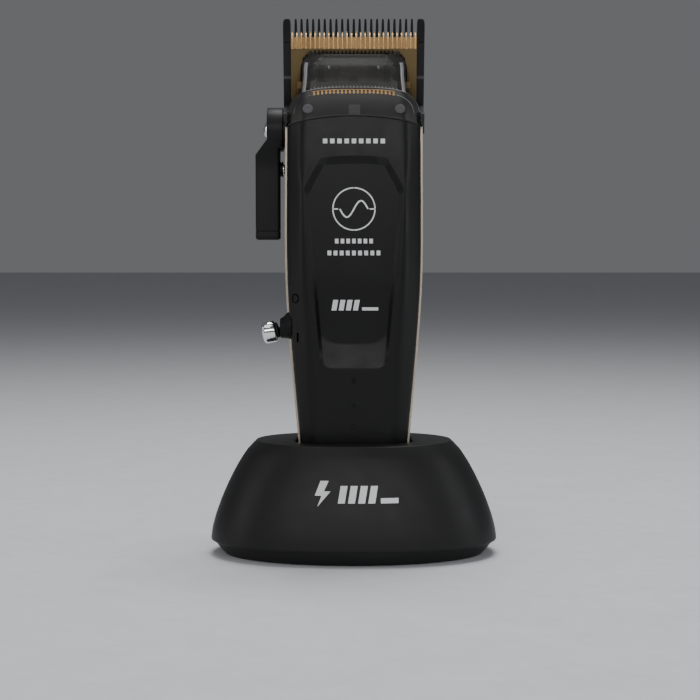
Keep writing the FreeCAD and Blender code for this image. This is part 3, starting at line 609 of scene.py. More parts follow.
def make_collar():
    turns = [90 * math.copysign(abs(t) ** 0.8, t) for t in spread(-1, 1, 81)]
    plate = []
    for v in spread(0, 1, 15):
        row = []
        for turn in turns:
            x, top = arch_point(turn)
            x *= 1.035 - 0.035 * v
            low = seam_at(x) + 0.1
            z = low + v * (top - low)
            row.append((x, plate_front(x, z), z))
        plate.append(row)
    rim = plate[-1]
    rolled = []
    for grow, back in ((0.22, 0.1), (0.42, 0.38), (0.5, 0.9), (0.5, 1.6)):
        rolled.append([(*arch_point(turn, grow)[:1], point[1] + back, arch_point(turn, grow)[1])
                       for turn, point in zip(turns, rim)])
    last = rolled[-1]
    for share in (0.35, 0.7, 1.0):
        rolled.append([(x * (1 - 0.01 * share), y + share * (COLLAR_BACK - y),
                        z - share * 1.1 * ease((z - 146) / 4))
                       for x, y, z in last])
    skin = Shell()
    skin.grid(plate + rolled)
    tree = skin.surface_tree()
    finish_piece(skin, "nose_collar_skin", "clipper", "smoked_collar", ["nose_collar"],
                 width=0.0, angle=50, wall=1.1)

    # Two thin light tubes along the collar's rim: painted highlight lines for the bright edges of the clear
    # plastic.
    edges = Shell()
    for grow, lift, radius in ((0.34, 0.05, 0.13), (-1.35, -0.05, 0.09)):
        rings = []
        for turn in spread(-84, 84, 90):
            x, z = arch_point(turn, grow)
            y = plate_front(x, z) + lift
            rings.append([(x + radius * math.cos(a) * 0.7, y + radius * math.sin(a),
                           z + radius * math.cos(a) * 0.7)
                          for a in spread(0, 1.75 * math.pi, 8)])
        edges.tube(rings)
    finish_piece(edges, "collar_rim_highlight_lines", "clipper", "rim_highlight_grey", width=0.0)

    screws = Shell()
    for side in (-1, 1):
        x0, z0 = side * 14.7, 144.9
        y0 = plate_front(x0, z0)
        lean = math.atan2(plate_front(x0, z0 + 1) - y0, 1)

        def place(x, y, level, x0=x0, y0=y0, z0=z0, lean=lean):
            return (x0 + x, y0 - level * math.cos(lean) + y * math.sin(lean),
                    z0 + y * math.cos(lean) + level * math.sin(lean))

        screws.turned([(0, -2.2), (1.6, -2.2), (1.66, 0.02), (1.56, 0.14), (0.5, 0.17), (0.42, 0.12),
                       (0, 0.12)],
                      place, 40)
    finish_piece(screws, "collar_screw_heads", "clipper", "screw_dark", ["collar_screws"],
                 width=0.0)
    return tree


# From tooth to tooth on the gold combs; the dark teeth along the hood's top, a painted shadow gap with
# painted reflections of teeth, have the lower comb's pitch
RIM_PITCH, COMB_PITCH = 1.14, 1.27


def make_vent_comb():
    """Two arched rows of fine teeth: one on the rim, one set into the plate below it."""
    rim_teeth, comb = Shell(), Shell()
    for step in range(-12, 13):
        x = RIM_PITCH * step
        z = arch_height(x)
        y = plate_front(x, z)
        rim_teeth.block((x - 0.24, y + 0.1, z - 0.2), (x + 0.24, y + 1.1, z + 0.85), taper=0.16)
    for step in range(-10, 11):
        x = COMB_PITCH * step
        z = arch_height(x) - 0.55
        y = plate_front(x, z - 0.9)
        comb.block((x - 0.32, y - 0.22, z - 1.45), (x + 0.32, y + 0.6, z - 0.1))
    rings = []
    for x in spread(-13.5, 13.5, 41):
        z = arch_height(x) - 0.62
        y = plate_front(x, z)
        rings.append([(x, y - 0.2, z), (x, y - 0.12, z + 0.26), (x, y + 0.5, z + 0.26), (x, y + 0.5, z)])
    comb.tube(rings)
    finish_piece(comb, "vent_comb_teeth", "clipper", "gold_trim", ["vent_comb"], width=0.05,
                 segments=2)
    # The rim teeth take the same light grey: a painted highlight of the clear plastic teeth.
    finish_piece(rim_teeth, "rim_teeth", "clipper", "rim_highlight_grey", width=0.0)


# height in the blade frame, half width, half width of the front, depth of the front
HOOD_ROWS = ((-28.3, 18.3, 15.6, -12.9), (-22.5, 17.6, 15.0, -10.6), (-17.5, 17.0, 14.5, -8.5),
             (-14.6, 16.9, 14.4, -6.9), (-13.0, 16.4, 13.9, -6.3), (-11.6, 15.0, 12.6, -5.8),
             (-10.6, 13.5, 11.2, -5.65))


def make_hood():
    rows = []
    for level in spread(HOOD_ROWS[0][0], HOOD_ROWS[-1][0], 26):
        half, flat, front = (smooth_table(HOOD_ROWS, level, column) for column in (1, 2, 3))
        shoulder = (half, front + 2.6)
        side = [(x, front) for x in spread(0, flat - 1.6, 6)]
        side += corner((0, front), (flat, front), shoulder, 1.8, 6)
        side += corner((flat, front), shoulder, (half, -3.4), 1.6, 6)
        side.append((half, -3.4))
        points = [from_blade(x, y, level) for x, y in side]
        rows.append([(-x, y, z) for x, y, z in reversed(points[1:])] + points)
    skin = Shell()
    skin.grid(rows)
    finish_piece(skin, "blade_hood_skin", "clipper", "smoked_hood", ["blade_hood"],
                 width=0.2, angle=35, wall=0.9)

    # Thin light strips on the hood's front corners: painted highlights for the streaks of light reflected
    # there.
    side_glints = Shell()
    for side in (-1, 1):
        rings = []
        for level in spread(-27.8, -13.4, 30):
            half, flat, front = (smooth_table(HOOD_ROWS, level, column) for column in (1, 2, 3))
            across = Vector((half - flat, 2.6))
            away = Vector((2.6, flat - half)).normalized()
            ring = []
            for share, rise in ((0.3, 0.06), (0.5, 0.16), (0.72, 0.06), (0.72, -0.1), (0.3, -0.1)):
                point = Vector((flat, front)) + across * share + away * rise
                ring.append(from_blade(side * point.x, point.y, level))
            rings.append(ring)
        side_glints.tube(rings)
    finish_piece(side_glints, "hood_side_highlight_strips", "clipper", "hood_glint_grey", width=0.0)

    # Dark teeth between the moving blade and the hood's top: a painted shadow in the gap, beaded like
    # reflected teeth.
    gap_shadow = Shell()
    for step in range(-10, 11):
        x = COMB_PITCH * step
        gap_shadow.block((x - 0.33, -3.1, -11.5), (x + 0.33, -2.6, -9.9), from_blade, taper=0.1)
    for side in (-1, 1):
        for share in spread(0.12, 0.9, 4):
            x, level = side * (13.9 + 2.9 * share), -10.9 - 2.4 * share ** 1.5
            gap_shadow.block((x - 0.3, -3.1, level - 0.7), (x + 0.3, -2.6, level + 0.75), from_blade, taper=0.1)
    finish_piece(gap_shadow, "hood_gap_shadow_teeth", "clipper", "liner_black", width=0.0)


# ---------------------------------------------------------------- blades

FIXED_HALF, FIXED_PITCH, FIXED_TEETH = 23.2, 1.9, 21
CUTTER_HALF, CUTTER_PITCH, CUTTER_TEETH = 20.65, 1.49, 28
NOTCH_Z = -7.7
SCREW_X, SCREW_Z = 14.0, -33.0


def make_fixed_blade():
    blade = Shell()
    root = -9.5
    profile = [(0.02, root), (2.9, root - 0.3), (3.0, -12), (3.0, -36), (0.02, -36)]
    blade.tube([[from_blade(x, y, z) for y, z in profile]
                for x in spread(0.04 - FIXED_HALF, FIXED_HALF - 0.04, 9)])
    for step in range(FIXED_TEETH):
        x = FIXED_PITCH * (step - (FIXED_TEETH - 1) / 2)
        rings = []
        for z, half, back in ((root - 0.6, 0.52, 2.75), (-6.0, 0.5, 2.0), (-2.2, 0.42, 1.05),
                              (-0.5, 0.34, 0.66), (-0.12, 0.26, 0.52), (0.0, 0.14, 0.4)):
            front = 0.02 if z < -0.4 else 0.1
            rings.append([from_blade(x - half, front, z), from_blade(x + half, front, z),
                          from_blade(x + half * 0.8, back, z), from_blade(x - half * 0.8, back, z)])
        blade.tube(rings)
    bands = Shell()
    for side in (-1, 1):
        inner, outer = side * (FIXED_HALF - 2.5), side * FIXED_HALF
        low, high = sorted((inner, outer))
        blade.block((low, -0.02, -35.9), (high, 2.3, NOTCH_Z - 0.1), from_blade)
        bands.block((low + 0.05, -0.045, -19.7), (high - 0.05, 0.3, -18.7), from_blade)
        rings = []
        for z, cut_in, front, back in ((NOTCH_Z - 0.4, 0.2, 0.6, 2.2), (NOTCH_Z + 0.1, 0.2, 0.6, 2.2),
                                       (NOTCH_Z + 0.12, 0, -0.02, 2.2), (-6.0, 0, -0.02, 2.0),
                                       (-2.2, 0.0, -0.02, 1.05), (-0.9, 0.1, 0.02, 0.72),
                                       (-0.3, 0.42, 0.02, 0.55), (-0.05, 0.85, 0.02, 0.45)):
            low, high = sorted((inner + side * cut_in * 0.6, outer - side * cut_in))
            rings.append([from_blade(low, front, z), from_blade(high, front, z),
                          from_blade(high, back, z), from_blade(low, back, z)])
        blade.tube(rings)
    finish_piece(blade, "fixed_blade_comb", "clipper", "blade_black", ["fixed_blade"],
                 width=0.09, segments=2)
    finish_piece(bands, "blade_side_bands", "clipper", "screw_dark", width=0.0)

    heads = Shell()
    for side in (-1, 1):
        heads.turned([(0, 1.5), (2.7, 1.5), (2.7, 3.05), (2.55, 3.35), (1.9, 3.55), (1.25, 3.62),
                      (1.15, 3.1), (0, 3.05)],
                     lambda x, y, level, side=side: from_blade(side * SCREW_X + x, level, SCREW_Z + y), 40)
    finish_piece(heads, "blade_screw_heads", "clipper", "steel", ["blade_screws"], width=0.0)


def make_moving_blade():
    blade = Shell()
    tip, floor_top, runout, heel = -4.15, -5.9, -9.4, -27.0
    outer = CUTTER_HALF
    window = [(17.7, heel), (17.6, -19.5), (17.4, -15.5), (16.7, -13.1), (15.4, -11.5), (14.1, -10.9),
              (0, -10.9)]
    rim = [(outer - 0.8, heel), (outer, heel + 0.8), (outer, runout), (0, runout)]
    for side in (-1, 1):
        outline = [(side * x, z) for x, z in window] + [(side * x, z) for x, z in reversed(rim)]
        blade.prism(outline, -2.2, -0.06, blade_face)
    for side in (-1, 1):
        low, high = sorted((side * 18.0, side * 19.5))
        blade.block((low, -2.5, -24.5), (high, -2.1, -17.5), from_blade)
    # The flat body takes a darker copy of the teeth's gold: painted shade.
    finish_piece(blade, "moving_blade_body", "cutter", "blade_gold_flat_shade", ["moving_blade"],
                 width=0.08, segments=2)

    flutes = Shell()
    ramp = [(-0.06, floor_top), (-0.28, floor_top), (-1.55, runout - 0.1), (-0.06, runout - 0.1)]
    flutes.tube([[from_blade(x, y, z) for y, z in ramp] for x in (-outer + 0.02, outer - 0.02)])
    # The ramp takes a still darker copy of the gold: painted shade.
    finish_piece(flutes, "moving_blade_flutes", "cutter", "blade_gold_ramp_shade", width=0.03)

    comb = Shell()
    for step in range(CUTTER_TEETH):
        x = CUTTER_PITCH * (step - (CUTTER_TEETH - 1) / 2)
        rings = []
        for z, half, front in ((runout - 0.2, 0.26, -2.2), (-8.0, 0.25, -1.82), (-5.2, 0.24, -1.25),
                               (-4.35, 0.23, -0.98), (tip, 0.17, -0.85)):
            rings.append([from_blade(x - half, -0.06, z), from_blade(x + half, -0.06, z),
                          from_blade(x + half, front, z), from_blade(x - half, front, z)])
        comb.tube(rings)
    finish_piece(comb, "moving_blade_comb", "cutter", "blade_gold", width=0.05, segments=2)


def make_drive_yoke():
    """Yoke that shows through the hood: a cross bar, a block with a slot, and two pins."""
    yoke = Shell()
    bar = rounded_outline([(-11, -14.6), (11, -14.6), (11, -12.4), (10.2, -11.0), (-10.2, -11.0),
                           (-11, -12.4)], 0.6)
    yoke.prism(bar, -3.35, -2.22, blade_face)
    finish_piece(yoke, "drive_yoke_bar", "cutter", "yoke_pale", ["drive_yoke"], width=0.15)
    plate = Shell()
    web = [(-9.8, -14.8), (-9.8, -19.2), (-6.8, -22.4), (6.8, -22.4), (9.8, -19.2), (9.8, -14.8)]
    plate.prism(web, -2.75, -2.3, blade_face)
    finish_piece(plate, "drive_yoke_web", "cutter", "yoke_web", width=0.1)
    block = Shell()
    block.block((-4.6, -4.1, -18.4), (4.6, -2.25, -14.7), from_blade)
    for side in (-1, 1):
        low, high = sorted((side * 1.5, side * 4.6))
        block.block((low, -4.1, -23.6), (high, -2.25, -18.4), from_blade)
        low, high = sorted((side * 4.3, side * 6.3))
        block.block((low, -9.1, -29.9), (high, -3.05, -25.4), from_blade)
    block.block((-6.3, -8.5, -25.45), (6.3, -2.25, -23.55), from_blade)
    finish_piece(block, "drive_yoke_block", "cutter", "yoke_dark", width=0.2)
    slot = Shell()
    slot.block((-1.5, -3.0, -23.5), (1.5, -2.76, -18.4), from_blade)
    finish_piece(slot, "drive_yoke_slot", "cutter", "liner_black", width=0.0)
    pins = Shell()
    pin_x, pin_front = 8.1, -3.3
    for side in (-1, 1):
        pins.turned([(0, 0), (0.45, 0), (0.5, 0.3), (0.35, 0.5), (0, 0.55)],
                    lambda x, y, level, side=side:
                    from_blade(side * pin_x + x, pin_front - level, -15.6 + y), 24)
        pins.turned([(0, -0.6), (0.3, -0.6), (0.3, 0.1), (0, 0.1)],
                    lambda x, y, level, side=side:
                    from_blade(side * pin_x + x, pin_front - level, -15.0 + y), 12)
    finish_piece(pins, "yoke_pins", "cutter", "chrome", width=0.0)


# ---------------------------------------------------------------- taper lever and toggle

LEVER_Y, LEVER_Z = 3.0, 139.2
HUB_RADIUS = 7.2
HUB_IN, HUB_OUT, ARM_IN, ARM_OUT, ARM_END = -23.1, -28.3, -24.2, -32.1, 103.2
FLARE_TOP, FLARE_FOOT = 135.9, 130.9
DETENT_Z = 126.3


def lever_ring(z):
    """The lever arm's outline at a height."""
    outer = HUB_OUT - (HUB_OUT - ARM_OUT) * min(max((FLARE_TOP - z) / (FLARE_TOP - FLARE_FOOT), 0.0), 1.0)
    inner = HUB_IN if z > 133.2 else ARM_IN
    wide = 6.6 - 2.0 * ease((LEVER_Z - 1 - z) / 11)
    seam = 0.12 if 105.9 < z < 106.2 else 0.0
    end = max(0.0, 0.7 - (z - ARM_END)) / 0.7
    shrink = seam + 0.5 * end * end
    outline = [(outer + shrink, LEVER_Y - wide + shrink), (inner - shrink, LEVER_Y - wide + shrink),
               (inner - shrink, LEVER_Y + wide - shrink), (outer + shrink, LEVER_Y + wide - shrink)]
    return [(x, y, z) for x, y in rounded_outline(outline, 0.8, 5)]


def make_lever():
    lever = Shell()
    heights = [LEVER_Z, 137.5, 136.1, 135.9, 135.6] + spread(134.8, 133.3, 3) + [133.25, 133.15]
    heights += spread(132.6, 131.2, 3) + [130.9, 130.6] + spread(128, 107, 9)
    heights += [106.25, 106.15, 105.95, 105.85]
    heights += [104.6] + [ARM_END + rise for rise in (0.7, 0.45, 0.25, 0.1, 0.0)]
    lever.tube([lever_ring(z) for z in heights])

    def along_x(x, y, level):
        return (HUB_IN - level, LEVER_Y + x, LEVER_Z + y)

    depth = HUB_IN - HUB_OUT
    lever.turned([(3.3, 0.0), (HUB_RADIUS - 0.15, 0.0), (HUB_RADIUS, 0.15), (HUB_RADIUS, depth - 0.3),
                  (HUB_RADIUS - 0.1, depth - 0.1), (HUB_RADIUS - 0.3, depth), (2.9, depth),
                  (2.75, depth - 0.25), (0, depth - 0.25)], along_x, 72)
    finish_piece(lever, "taper_lever_arm", "lever", "lever_black", ["taper_lever"],
                 width=0.0, angle=35)
    head = Shell()
    head.turned([(0, depth - 0.2), (2.55, depth - 0.2), (2.6, depth + 0.25), (2.3, depth + 0.7),
                 (1.6, depth + 1.12), (0.8, depth + 1.34), (0.62, depth + 1.2), (0.5, depth + 0.7),
                 (0, depth + 0.7)], along_x, 48)
    finish_piece(head, "lever_screw_dome", "lever", "chrome", ["lever_screw"], width=0.0)

    seat = Shell()
    seat.turned([(3.4, -1.9), (6.3, -1.9), (6.4, -1.75), (6.4, -0.2), (6.25, -0.05), (3.4, -0.05)],
                along_x, 64)
    finish_piece(seat, "lever_seat", "clipper", "lever_black", width=0.0, angle=35)

    def detent_axis(x, y, level):
        return (ARM_IN + level, LEVER_Y + x, DETENT_Z + y)

    sleeve = Shell()
    sleeve.turned([(0, -1.0), (2.5, -1.0), (2.5, 0.25), (2.2, 0.35), (2.2, 0.55), (2.55, 0.65),
                   (2.55, 0.95), (2.35, 1.05), (0, 1.05)], detent_axis, 40)
    finish_piece(sleeve, "detent_sleeve", "lever", "lever_black", width=0.0)
    tip = Shell()
    tip.turned([(0, 0.9), (1.75, 0.9), (1.75, 1.25), (1.5, 1.5), (0.9, 1.62), (0, 1.65)], detent_axis, 40)
    finish_piece(tip, "detent_tip", "lever", "chrome", ["lever_detent"], width=0.0)


TOGGLE = Vector((-19.5, -6.75, 75.2))
BOSS_X = -21.5
TOGGLE_LEAN = math.radians(12.5)


def make_toggle():
    boss = Shell()
    rings = []
    for reach, above, below in ((-1.2, 3.6, 3.6), (-1.2, 4.7, 4.0), (-0.1, 4.7, 4.0), (0.3, 4.35, 3.97),
                                (0.7, 3.85, 3.92),
                                (1.1, 3.4, 3.88), (1.5, 3.05, 3.84), (1.9, 2.8, 3.8), (2.25, 2.65, 3.76),
                                (2.42, 2.5, 3.6), (2.45, 2.3, 3.0), (2.45, 2.05, 2.05), (1.0, 2.0, 2.0),
                                (-1.1, 2.0, 2.0)):
        middle, radius = (above - below) / 2, (above + below) / 2
        rings.append([(BOSS_X - reach, TOGGLE.y + radius * math.cos(2 * math.pi * k / 56),
                       TOGGLE.z + middle + radius * math.sin(2 * math.pi * k / 56)) for k in range(56)])
    boss.tube(rings)
    finish_piece(boss, "switch_boss_cone", "clipper", "liner_black", ["switch_boss"],
                 width=0.0, angle=50)

    def leaning(x, y, level):
        out = Vector((-math.cos(TOGGLE_LEAN), 0, -math.sin(TOGGLE_LEAN)))
        up = Vector((-math.sin(TOGGLE_LEAN), 0, math.cos(TOGGLE_LEAN)))
        return tuple(TOGGLE + out * level + Vector((0, x, 0)) + up * y)

    knob = Shell()
    knob.turned([(0, 5.6), (2.1, 5.6), (2.5, 5.75), (3.1, 6.0), (3.5, 6.3), (3.62, 6.6), (3.62, 9.2),
                 (3.5, 9.75), (3.1, 10.2), (2.4, 10.42), (1.4, 10.48), (0, 10.48)], leaning, 56)
    finish_piece(knob, "toggle_knob_cap", "toggle", "chrome", ["toggle_knob"], width=0.0,
                 angle=50)
    stem = Shell()
    stem.turned([(0, -3), (0.8, -3), (0.88, -2.8), (0.88, 4.9), (1.9, 5.0), (2.3, 5.15), (2.6, 5.4),
                 (2.6, 5.65), (0, 5.65)], leaning, 40)
    finish_piece(stem, "toggle_stem_rod", "toggle", "lever_black", ["toggle_stem"],
                 width=0.0)


# ---------------------------------------------------------------- dock

ROUNDNESS = 2.2
COLUMNS = 144
# height, share of the way from the top rim (0) to the seam (1)
DOCK_PROFILE = ((4.8, 1.0), (9.5, 0.953), (16, 0.819), (22.7, 0.633), (29.2, 0.413), (34.2, 0.2),
                (35.8, 0.1), (37.2, 0.018))
TOP_HALF, TOP_DEEP, SEAM_HALF, SEAM_DEEP = 32.2, 21.6, 47.2, 30.0
DOCK_TOP = 37.6


def oval(half, deep, z, power=ROUNDNESS):
    ring = []
    for k in range(COLUMNS):
        turn = 2 * math.pi * k / COLUMNS
        c, s = math.cos(turn), math.sin(turn)
        ring.append((half * math.copysign(abs(c) ** (2 / power), c),
                     deep * math.copysign(abs(s) ** (2 / power), s), z))
    return ring


def tail_ring(z, grow):
    """The clipper's outline at a height, grown by a gap, as one point per dock column."""
    half, front, back = half_at(z) + grow, front_at(z) - grow, back_at(z) + grow
    facet = facet_at(z) + grow / 2
    right = [(facet, front), (half, bevel_at(front_at(z))), (half, back - BACK_SLOPE),
             (half - BACK_SLOPE, back)]
    points = rounded_outline(right + [(-x, y) for x, y in reversed(right)], 2.4, 6)
    ring = []
    for x, y, _ in oval(1, 0.8, 0):
        ring.append((*ray_hit(points, math.atan2(y, x)), z))
    return ring


def ray_hit(points, angle):
    """Where a ray from the centre meets a closed outline."""
    c, s = math.cos(angle), math.sin(angle)
    for a, b in zip(points, points[1:] + points[:1]):
        side_a, side_b = -a[0] * s + a[1] * c, -b[0] * s + b[1] * c
        if side_a * side_b <= 0 and side_a != side_b:
            t = side_a / (side_a - side_b)
            x, y = a[0] + t * (b[0] - a[0]), a[1] + t * (b[1] - a[1])
            if x * c + y * s > 0:
                return x, y
    return 0.0, 0.0


def dock_ring(z, inset=0.0):
    share = smooth_table(DOCK_PROFILE, z, 1)
    half = TOP_HALF + share * (SEAM_HALF - TOP_HALF)
    deep = TOP_DEEP + share * (SEAM_DEEP - TOP_DEEP)
    return oval(half - inset, deep - inset, z)


def make_dock():
    shell = Shell()
    rings = [dock_ring(4.82, 1.3), dock_ring(4.8, 0.45), dock_ring(4.95, 0.12), dock_ring(5.3, 0.0)]
    rings += [dock_ring(z) for z in spread(5.9, 36.6, 30)]
    rings += [oval(32.42, 21.78, 37.05), oval(32.25, 21.62, 37.32), oval(32.0, 21.4, 37.5),
              oval(31.6, 21.0, 37.58), oval(30.9, 20.4, DOCK_TOP)]
    opening = tail_ring(DOCK_TOP, 0.85)
    outer = rings[-1]
    for t in (0.3, 0.6, 0.85):
        rings.append([tuple(a + (b - a) * t for a, b in zip(p, q))
                      for p, q in zip(outer, tail_ring(DOCK_TOP, 1.2))])
    rings += [tail_ring(DOCK_TOP, 1.2), tail_ring(37.52, 0.98), [(x, y, 37.3) for x, y, _ in opening],
              tail_ring(36.2, 0.85), tail_ring(36.2, 3.0)]
    rings += [dock_ring(z, 2.4) for z in (34.8, 30, 24, 16, 9, 5.2)]
    shell.loop(rings)
    tree = shell.surface_tree()
    port = Shell()
    slot = rounded_outline([(-5.0, 7.0), (5.0, 7.0), (5.0, 11.0), (-5.0, 11.0)], 1.5, 6)
    port.prism(slot, 24.0, 34.0, lambda x, z, y: (x, y, z))
    finish_piece(shell, "dock_shell_skin", "dock", "dock_black", ["dock_shell"], width=0.0,
                 angle=60, cuts=[port])

    liner = Shell()
    rings = [tail_ring(z, 0.9) for z in (36.1, 28, 20, 13, 11.7)]
    floor = [(x * 0.5, y * 0.5, 11.7) for x, y, _ in rings[-1]]
    outside = [tail_ring(z, 2.1) for z in (36.1, 28, 20, 12, 10.0)]
    liner.tube([[(x * 0.3, y * 0.3, 11.7) for x, y, _ in rings[-1]], floor] + rings[::-1] + outside
               + [[(x * 0.3, y * 0.3, 10.0) for x, y, _ in outside[-1]]])
    finish_piece(liner, "dock_well_liner", "dock", "liner_black", ["dock_well"], width=0.0,
                 angle=40)
    return tree


# ---------------------------------------------------------------- printed marks

PRINT_RISE, PRINT_THICK, PRINT_CELL = 0.03, 0.06, 1.0


def lay(name, shapes, tree, base, finish, body="clipper"):
    """Prints thin shapes on a surface: outlines in (u, v) about a height, seen from the front."""
    work = bmesh.new()
    for outline in shapes:
        work.faces.new([work.verts.new((u, 0.0, base + v)) for u, v in outline])
    work.normal_update()
    bmesh.ops.triangulate(work, faces=work.faces)
    for axis in (0, 2):
        low = min(vert.co[axis] for vert in work.verts)
        high = max(vert.co[axis] for vert in work.verts)
        normal = Vector((1, 0, 0)) if axis == 0 else Vector((0, 0, 1))
        for step in range(1, int((high - low) / PRINT_CELL) + 1):
            bmesh.ops.bisect_plane(work, geom=work.verts[:] + work.edges[:] + work.faces[:], dist=1e-5,
                                   plane_co=normal * (low + step * PRINT_CELL), plane_no=normal)
    for vert in work.verts:
        hit = tree.ray_cast(Vector((vert.co.x, -200, vert.co.z)), Vector((0, 1, 0)))[0]
        vert.co = Vector((vert.co.x, (hit.y if hit else 0.0) - PRINT_RISE, vert.co.z)) * MM
    for face in work.faces:
        face.normal_update()
        if face.normal.y > 0:
            face.normal_flip()
    mesh = bpy.data.meshes.new(name)
    work.to_mesh(mesh)
    work.free()
    obj = bpy.data.objects.new(name, mesh)
    bpy.context.scene.collection.objects.link(obj)
    thicken(obj, PRINT_THICK)
    obj.data.materials.append(MATERIALS[finish])
    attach(obj, body)


def bar(u, v, wide, tall, lean=0.0):
    """A rectangular mark, leaning by an offset of its top edge."""
    return [(u - wide / 2, v - tall / 2), (u + wide / 2, v - tall / 2),
            (u + wide / 2 + lean, v + tall / 2), (u - wide / 2 + lean, v + tall / 2)]


def ticks(count, total, tall, fill=0.7, v=0.0, lean=0.0):
    """A row of even blocks, centred."""
    pitch = total / count
    return [bar(pitch * (k - (count - 1) / 2), v, pitch * fill, tall, lean) for k in range(count)]


def ribbon(points, thick):
    """A band of even width along a line, as one outline."""
    sides = ([], [])
    for i, point in enumerate(points):
        ahead = Vector(points[min(i + 1, len(points) - 1)]) - Vector(points[max(i - 1, 0)])
        across = Vector((-ahead.y, ahead.x)).normalized() * thick / 2
        for side, sign in zip(sides, (-1, 1)):
            side.append((point[0] + sign * across.x, point[1] + sign * across.y))
    return sides[0] + sides[1][::-1]


def arc(radius, start, end, count=20, stretch=1.0):
    return [(radius * math.cos(math.radians(a)), stretch * radius * math.sin(math.radians(a)))
            for a in spread(start, end, count)]


def make_marks(housing, collar, dock):
    silver, dim, ink = "print_silver", "print_dim", "print_ink"
    lay("print_top_ticks", ticks(9, 20.6, 1.5, 0.62), housing, 134.6, silver)
    wave = [(u, 2.6 * math.sin(math.radians(u * 40))) for u in spread(-4.5, 4.5, 37)]
    coil = [ribbon(arc(6.7, a, a + 88), 0.42) for a in (1, 91, 181, 271)] + [ribbon(wave, 0.5)]
    coil += [ribbon([(side * 5.0, 0), (side * 6.5, 0)], 0.42) for side in (-1, 1)]
    lay("print_wave", coil, housing, 113.1, silver)
    lay("print_rows", ticks(7, 12.8, 1.5, 0.62, 1.9) + ticks(9, 17.6, 1.5, 0.62, -1.9), housing, 101.0,
        silver)
    gauge = [bar(-6.4 + 2.3 * k, 0, 1.6, 3.4, 0.6) for k in range(4)] + [bar(5.2, -1.2, 5.2, 1.0)]
    lay("print_gauge", gauge, housing, 82.4, silver)

    signs = ((43.1, [ribbon(arc(0.75, 20, 340), 0.3)]), (50.1, [[(-0.95, -0.7), (0.95, -0.7), (0, 0.95)]]),
             (57.9, [bar(0, 0, 1.5, 1.5), bar(0, 1.25, 0.7, 0.4)]))
    for level, shapes in signs:
        lay("print_status_%d" % round(level), shapes, housing, level, "print_faint")
    lay("print_off", [ribbon([(u - 18.75, v) for u, v in arc(0.95, 2, 358, 40, 1.45)], 0.34)], housing,
        84.5, ink)
    lay("print_on", [bar(-18.1, 0, 0.6, 3.0)], housing, 71.9, ink)
    lay("collar_window", [bar(0.2, 0, 3.6, 3.4)], collar, 144.6, dim)

    bolt = [(-10.6, 4.0), (-8.0, 4.0), (-9.5, 0.8), (-7.4, 0.8), (-11.6, -4.0), (-10.3, -0.6),
            (-12.4, -0.6)]
    bars = [bar(-4.0 + 3.2 * k, -0.2, 2.2, 5.4, 0.9) for k in range(4)] + [bar(11.3, -2.1, 5.6, 1.6)]
    lay("print_charge", [bolt] + bars, dock, 23.2, silver, "dock")


# ---------------------------------------------------------------- carried-over nodes, stage and camera

CARRIED = {
    "tail_cap": ("housing_black", 0.25), "nose_frame": ("frame_grey", 0.35), "lever_bush": ("steel", 0.15),
    "lever_cam": ("steel", 0.15),
    "blade_guide": ("liner_black", 0.2), "tension_spring": ("gold_trim", 0.1),
    "motor_can": ("motor_metal", 0.6),
    "motor_bearing": ("steel", 0.2), "motor_bracket": ("steel", 0.2), "motor_screws": ("steel", 0.15),
    "motor_shaft": ("steel", 0.1), "crank_eccentric": ("steel", 0.2), "battery_cell": ("cell_wrap", 0.5),
    "battery_cradle": ("liner_black", 0.1), "control_board": ("board_green", 0.1),
    "switch_body": ("liner_black", 0.2), "indicator_lenses": ("lens_smoke", 0.08),
    "charging_contacts": ("contact_gold", 0.1), "charge_port": ("port_steel", 0.08),
    "housing_screws": ("steel", 0.15), "dock_base": ("base_black", 0.3), "dock_feet": ("foot_rubber", 0.2),
    "dock_board": ("board_green", 0.1), "dock_screws": ("steel", 0.15), "ballast_plate": ("steel", 0.3),
    "dock_socket": ("port_steel", 0.1), "pin_block": ("liner_black", 0.2),
    "charging_pins": ("contact_gold", 0.2),
}


def dress_carried():
    """Finishes for the nodes whose shape already is right, with softened edges."""
    for node, (finish, width) in CARRIED.items():
        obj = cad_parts[node]
        obj.data.materials.clear()
        obj.data.materials.append(MATERIALS[finish])
        bevel = obj.modifiers.new("edges", "BEVEL")
        bevel.width = width * MM
        bevel.segments = 2
        bevel.limit_method = "ANGLE"
        bevel.angle_limit = math.radians(40)
        bevel.use_clamp_overlap = True


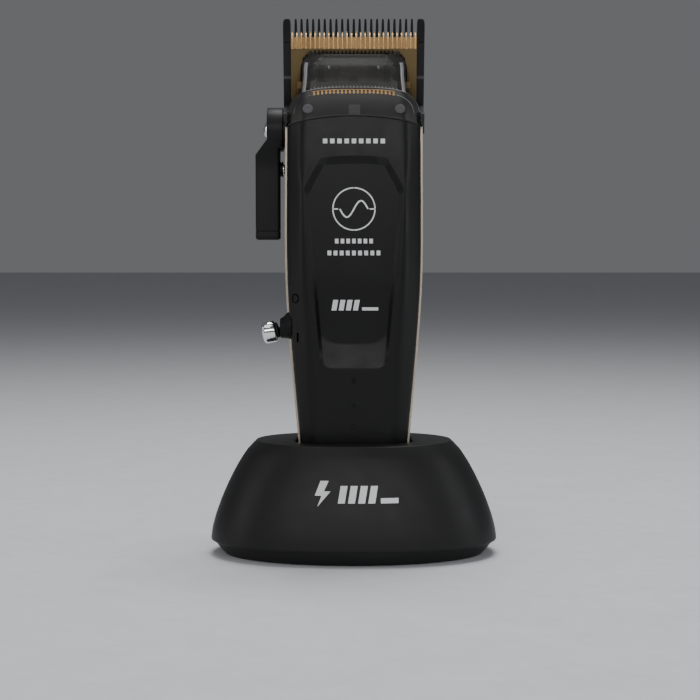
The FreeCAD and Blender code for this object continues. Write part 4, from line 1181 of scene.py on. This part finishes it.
def area_light(name, place, aim, size, power, colour=(1, 1, 1)):
    data = bpy.data.lights.new(name, "AREA")
    data.shape = "RECTANGLE"
    data.size, data.size_y = size
    data.energy = power
    data.color = colour
    obj = bpy.data.objects.new(name, data)
    bpy.context.scene.collection.objects.link(obj)
    obj.location = place
    obj.rotation_euler = (Vector(aim) - Vector(place)).to_track_quat("-Z", "Y").to_euler()


def make_stage():
    floor = Shell()
    reach = 4000
    floor.add([(-reach, -reach, 0), (reach, -reach, 0), (reach, reach, 0), (-reach, reach, 0)],
              [(0, 1, 2, 3)])
    ground = floor.build("floor")
    ground.data.materials.append(surface("floor_pale", (0.54, 0.55, 0.57), 0.6, grain=300, bump=0.02,
                                         vary=0.02))
    world = bpy.data.worlds.new("studio")
    world.use_nodes = True
    world.node_tree.nodes["Background"].inputs["Color"].default_value = (0.69, 0.71, 0.74, 1)
    world.node_tree.nodes["Background"].inputs["Strength"].default_value = 0.20
    bpy.context.scene.world = world
    area_light("key", (-0.28, -0.45, 0.95), (0, 0, 0.11), (0.6, 0.5), 1.2)
    area_light("top", (0.05, 0.16, 0.85), (0, 0, 0.1), (0.5, 0.4), 7.5)
    area_light("front", (0.0, -1.0, 0.42), (0, 0, 0.15), (1.7, 0.2), 6.5)
    area_light("left_strip", (-0.6, -0.1, 0.24), (0, 0, 0.14), (0.06, 0.42), 0.55, (1.0, 0.96, 0.92))
    area_light("right_strip", (0.6, -0.1, 0.24), (0, 0, 0.14), (0.06, 0.42), 0.7, (0.96, 0.97, 1.0))


def make_camera():
    data = bpy.data.cameras.new("camera")
    data.sensor_width = 36.0
    data.lens = 90.0
    data.clip_start, data.clip_end = 0.05, 10
    obj = bpy.data.objects.new("camera", data)
    obj.location = (-0.00125, -0.575, 0.1058)
    dip = 3.86
    obj.rotation_euler = (math.radians(90 - dip), 0, 0)
    bpy.context.scene.collection.objects.link(obj)
    bpy.context.scene.camera = obj


housing_tree = make_front_housing()
make_rear_housing()
make_side_trim()
collar_tree = make_collar()
make_vent_comb()
make_hood()
make_fixed_blade()
make_moving_blade()
make_drive_yoke()
make_lever()
make_toggle()
dock_tree = make_dock()
make_marks(housing_tree, collar_tree, dock_tree)
dress_carried()
make_stage()
make_camera()
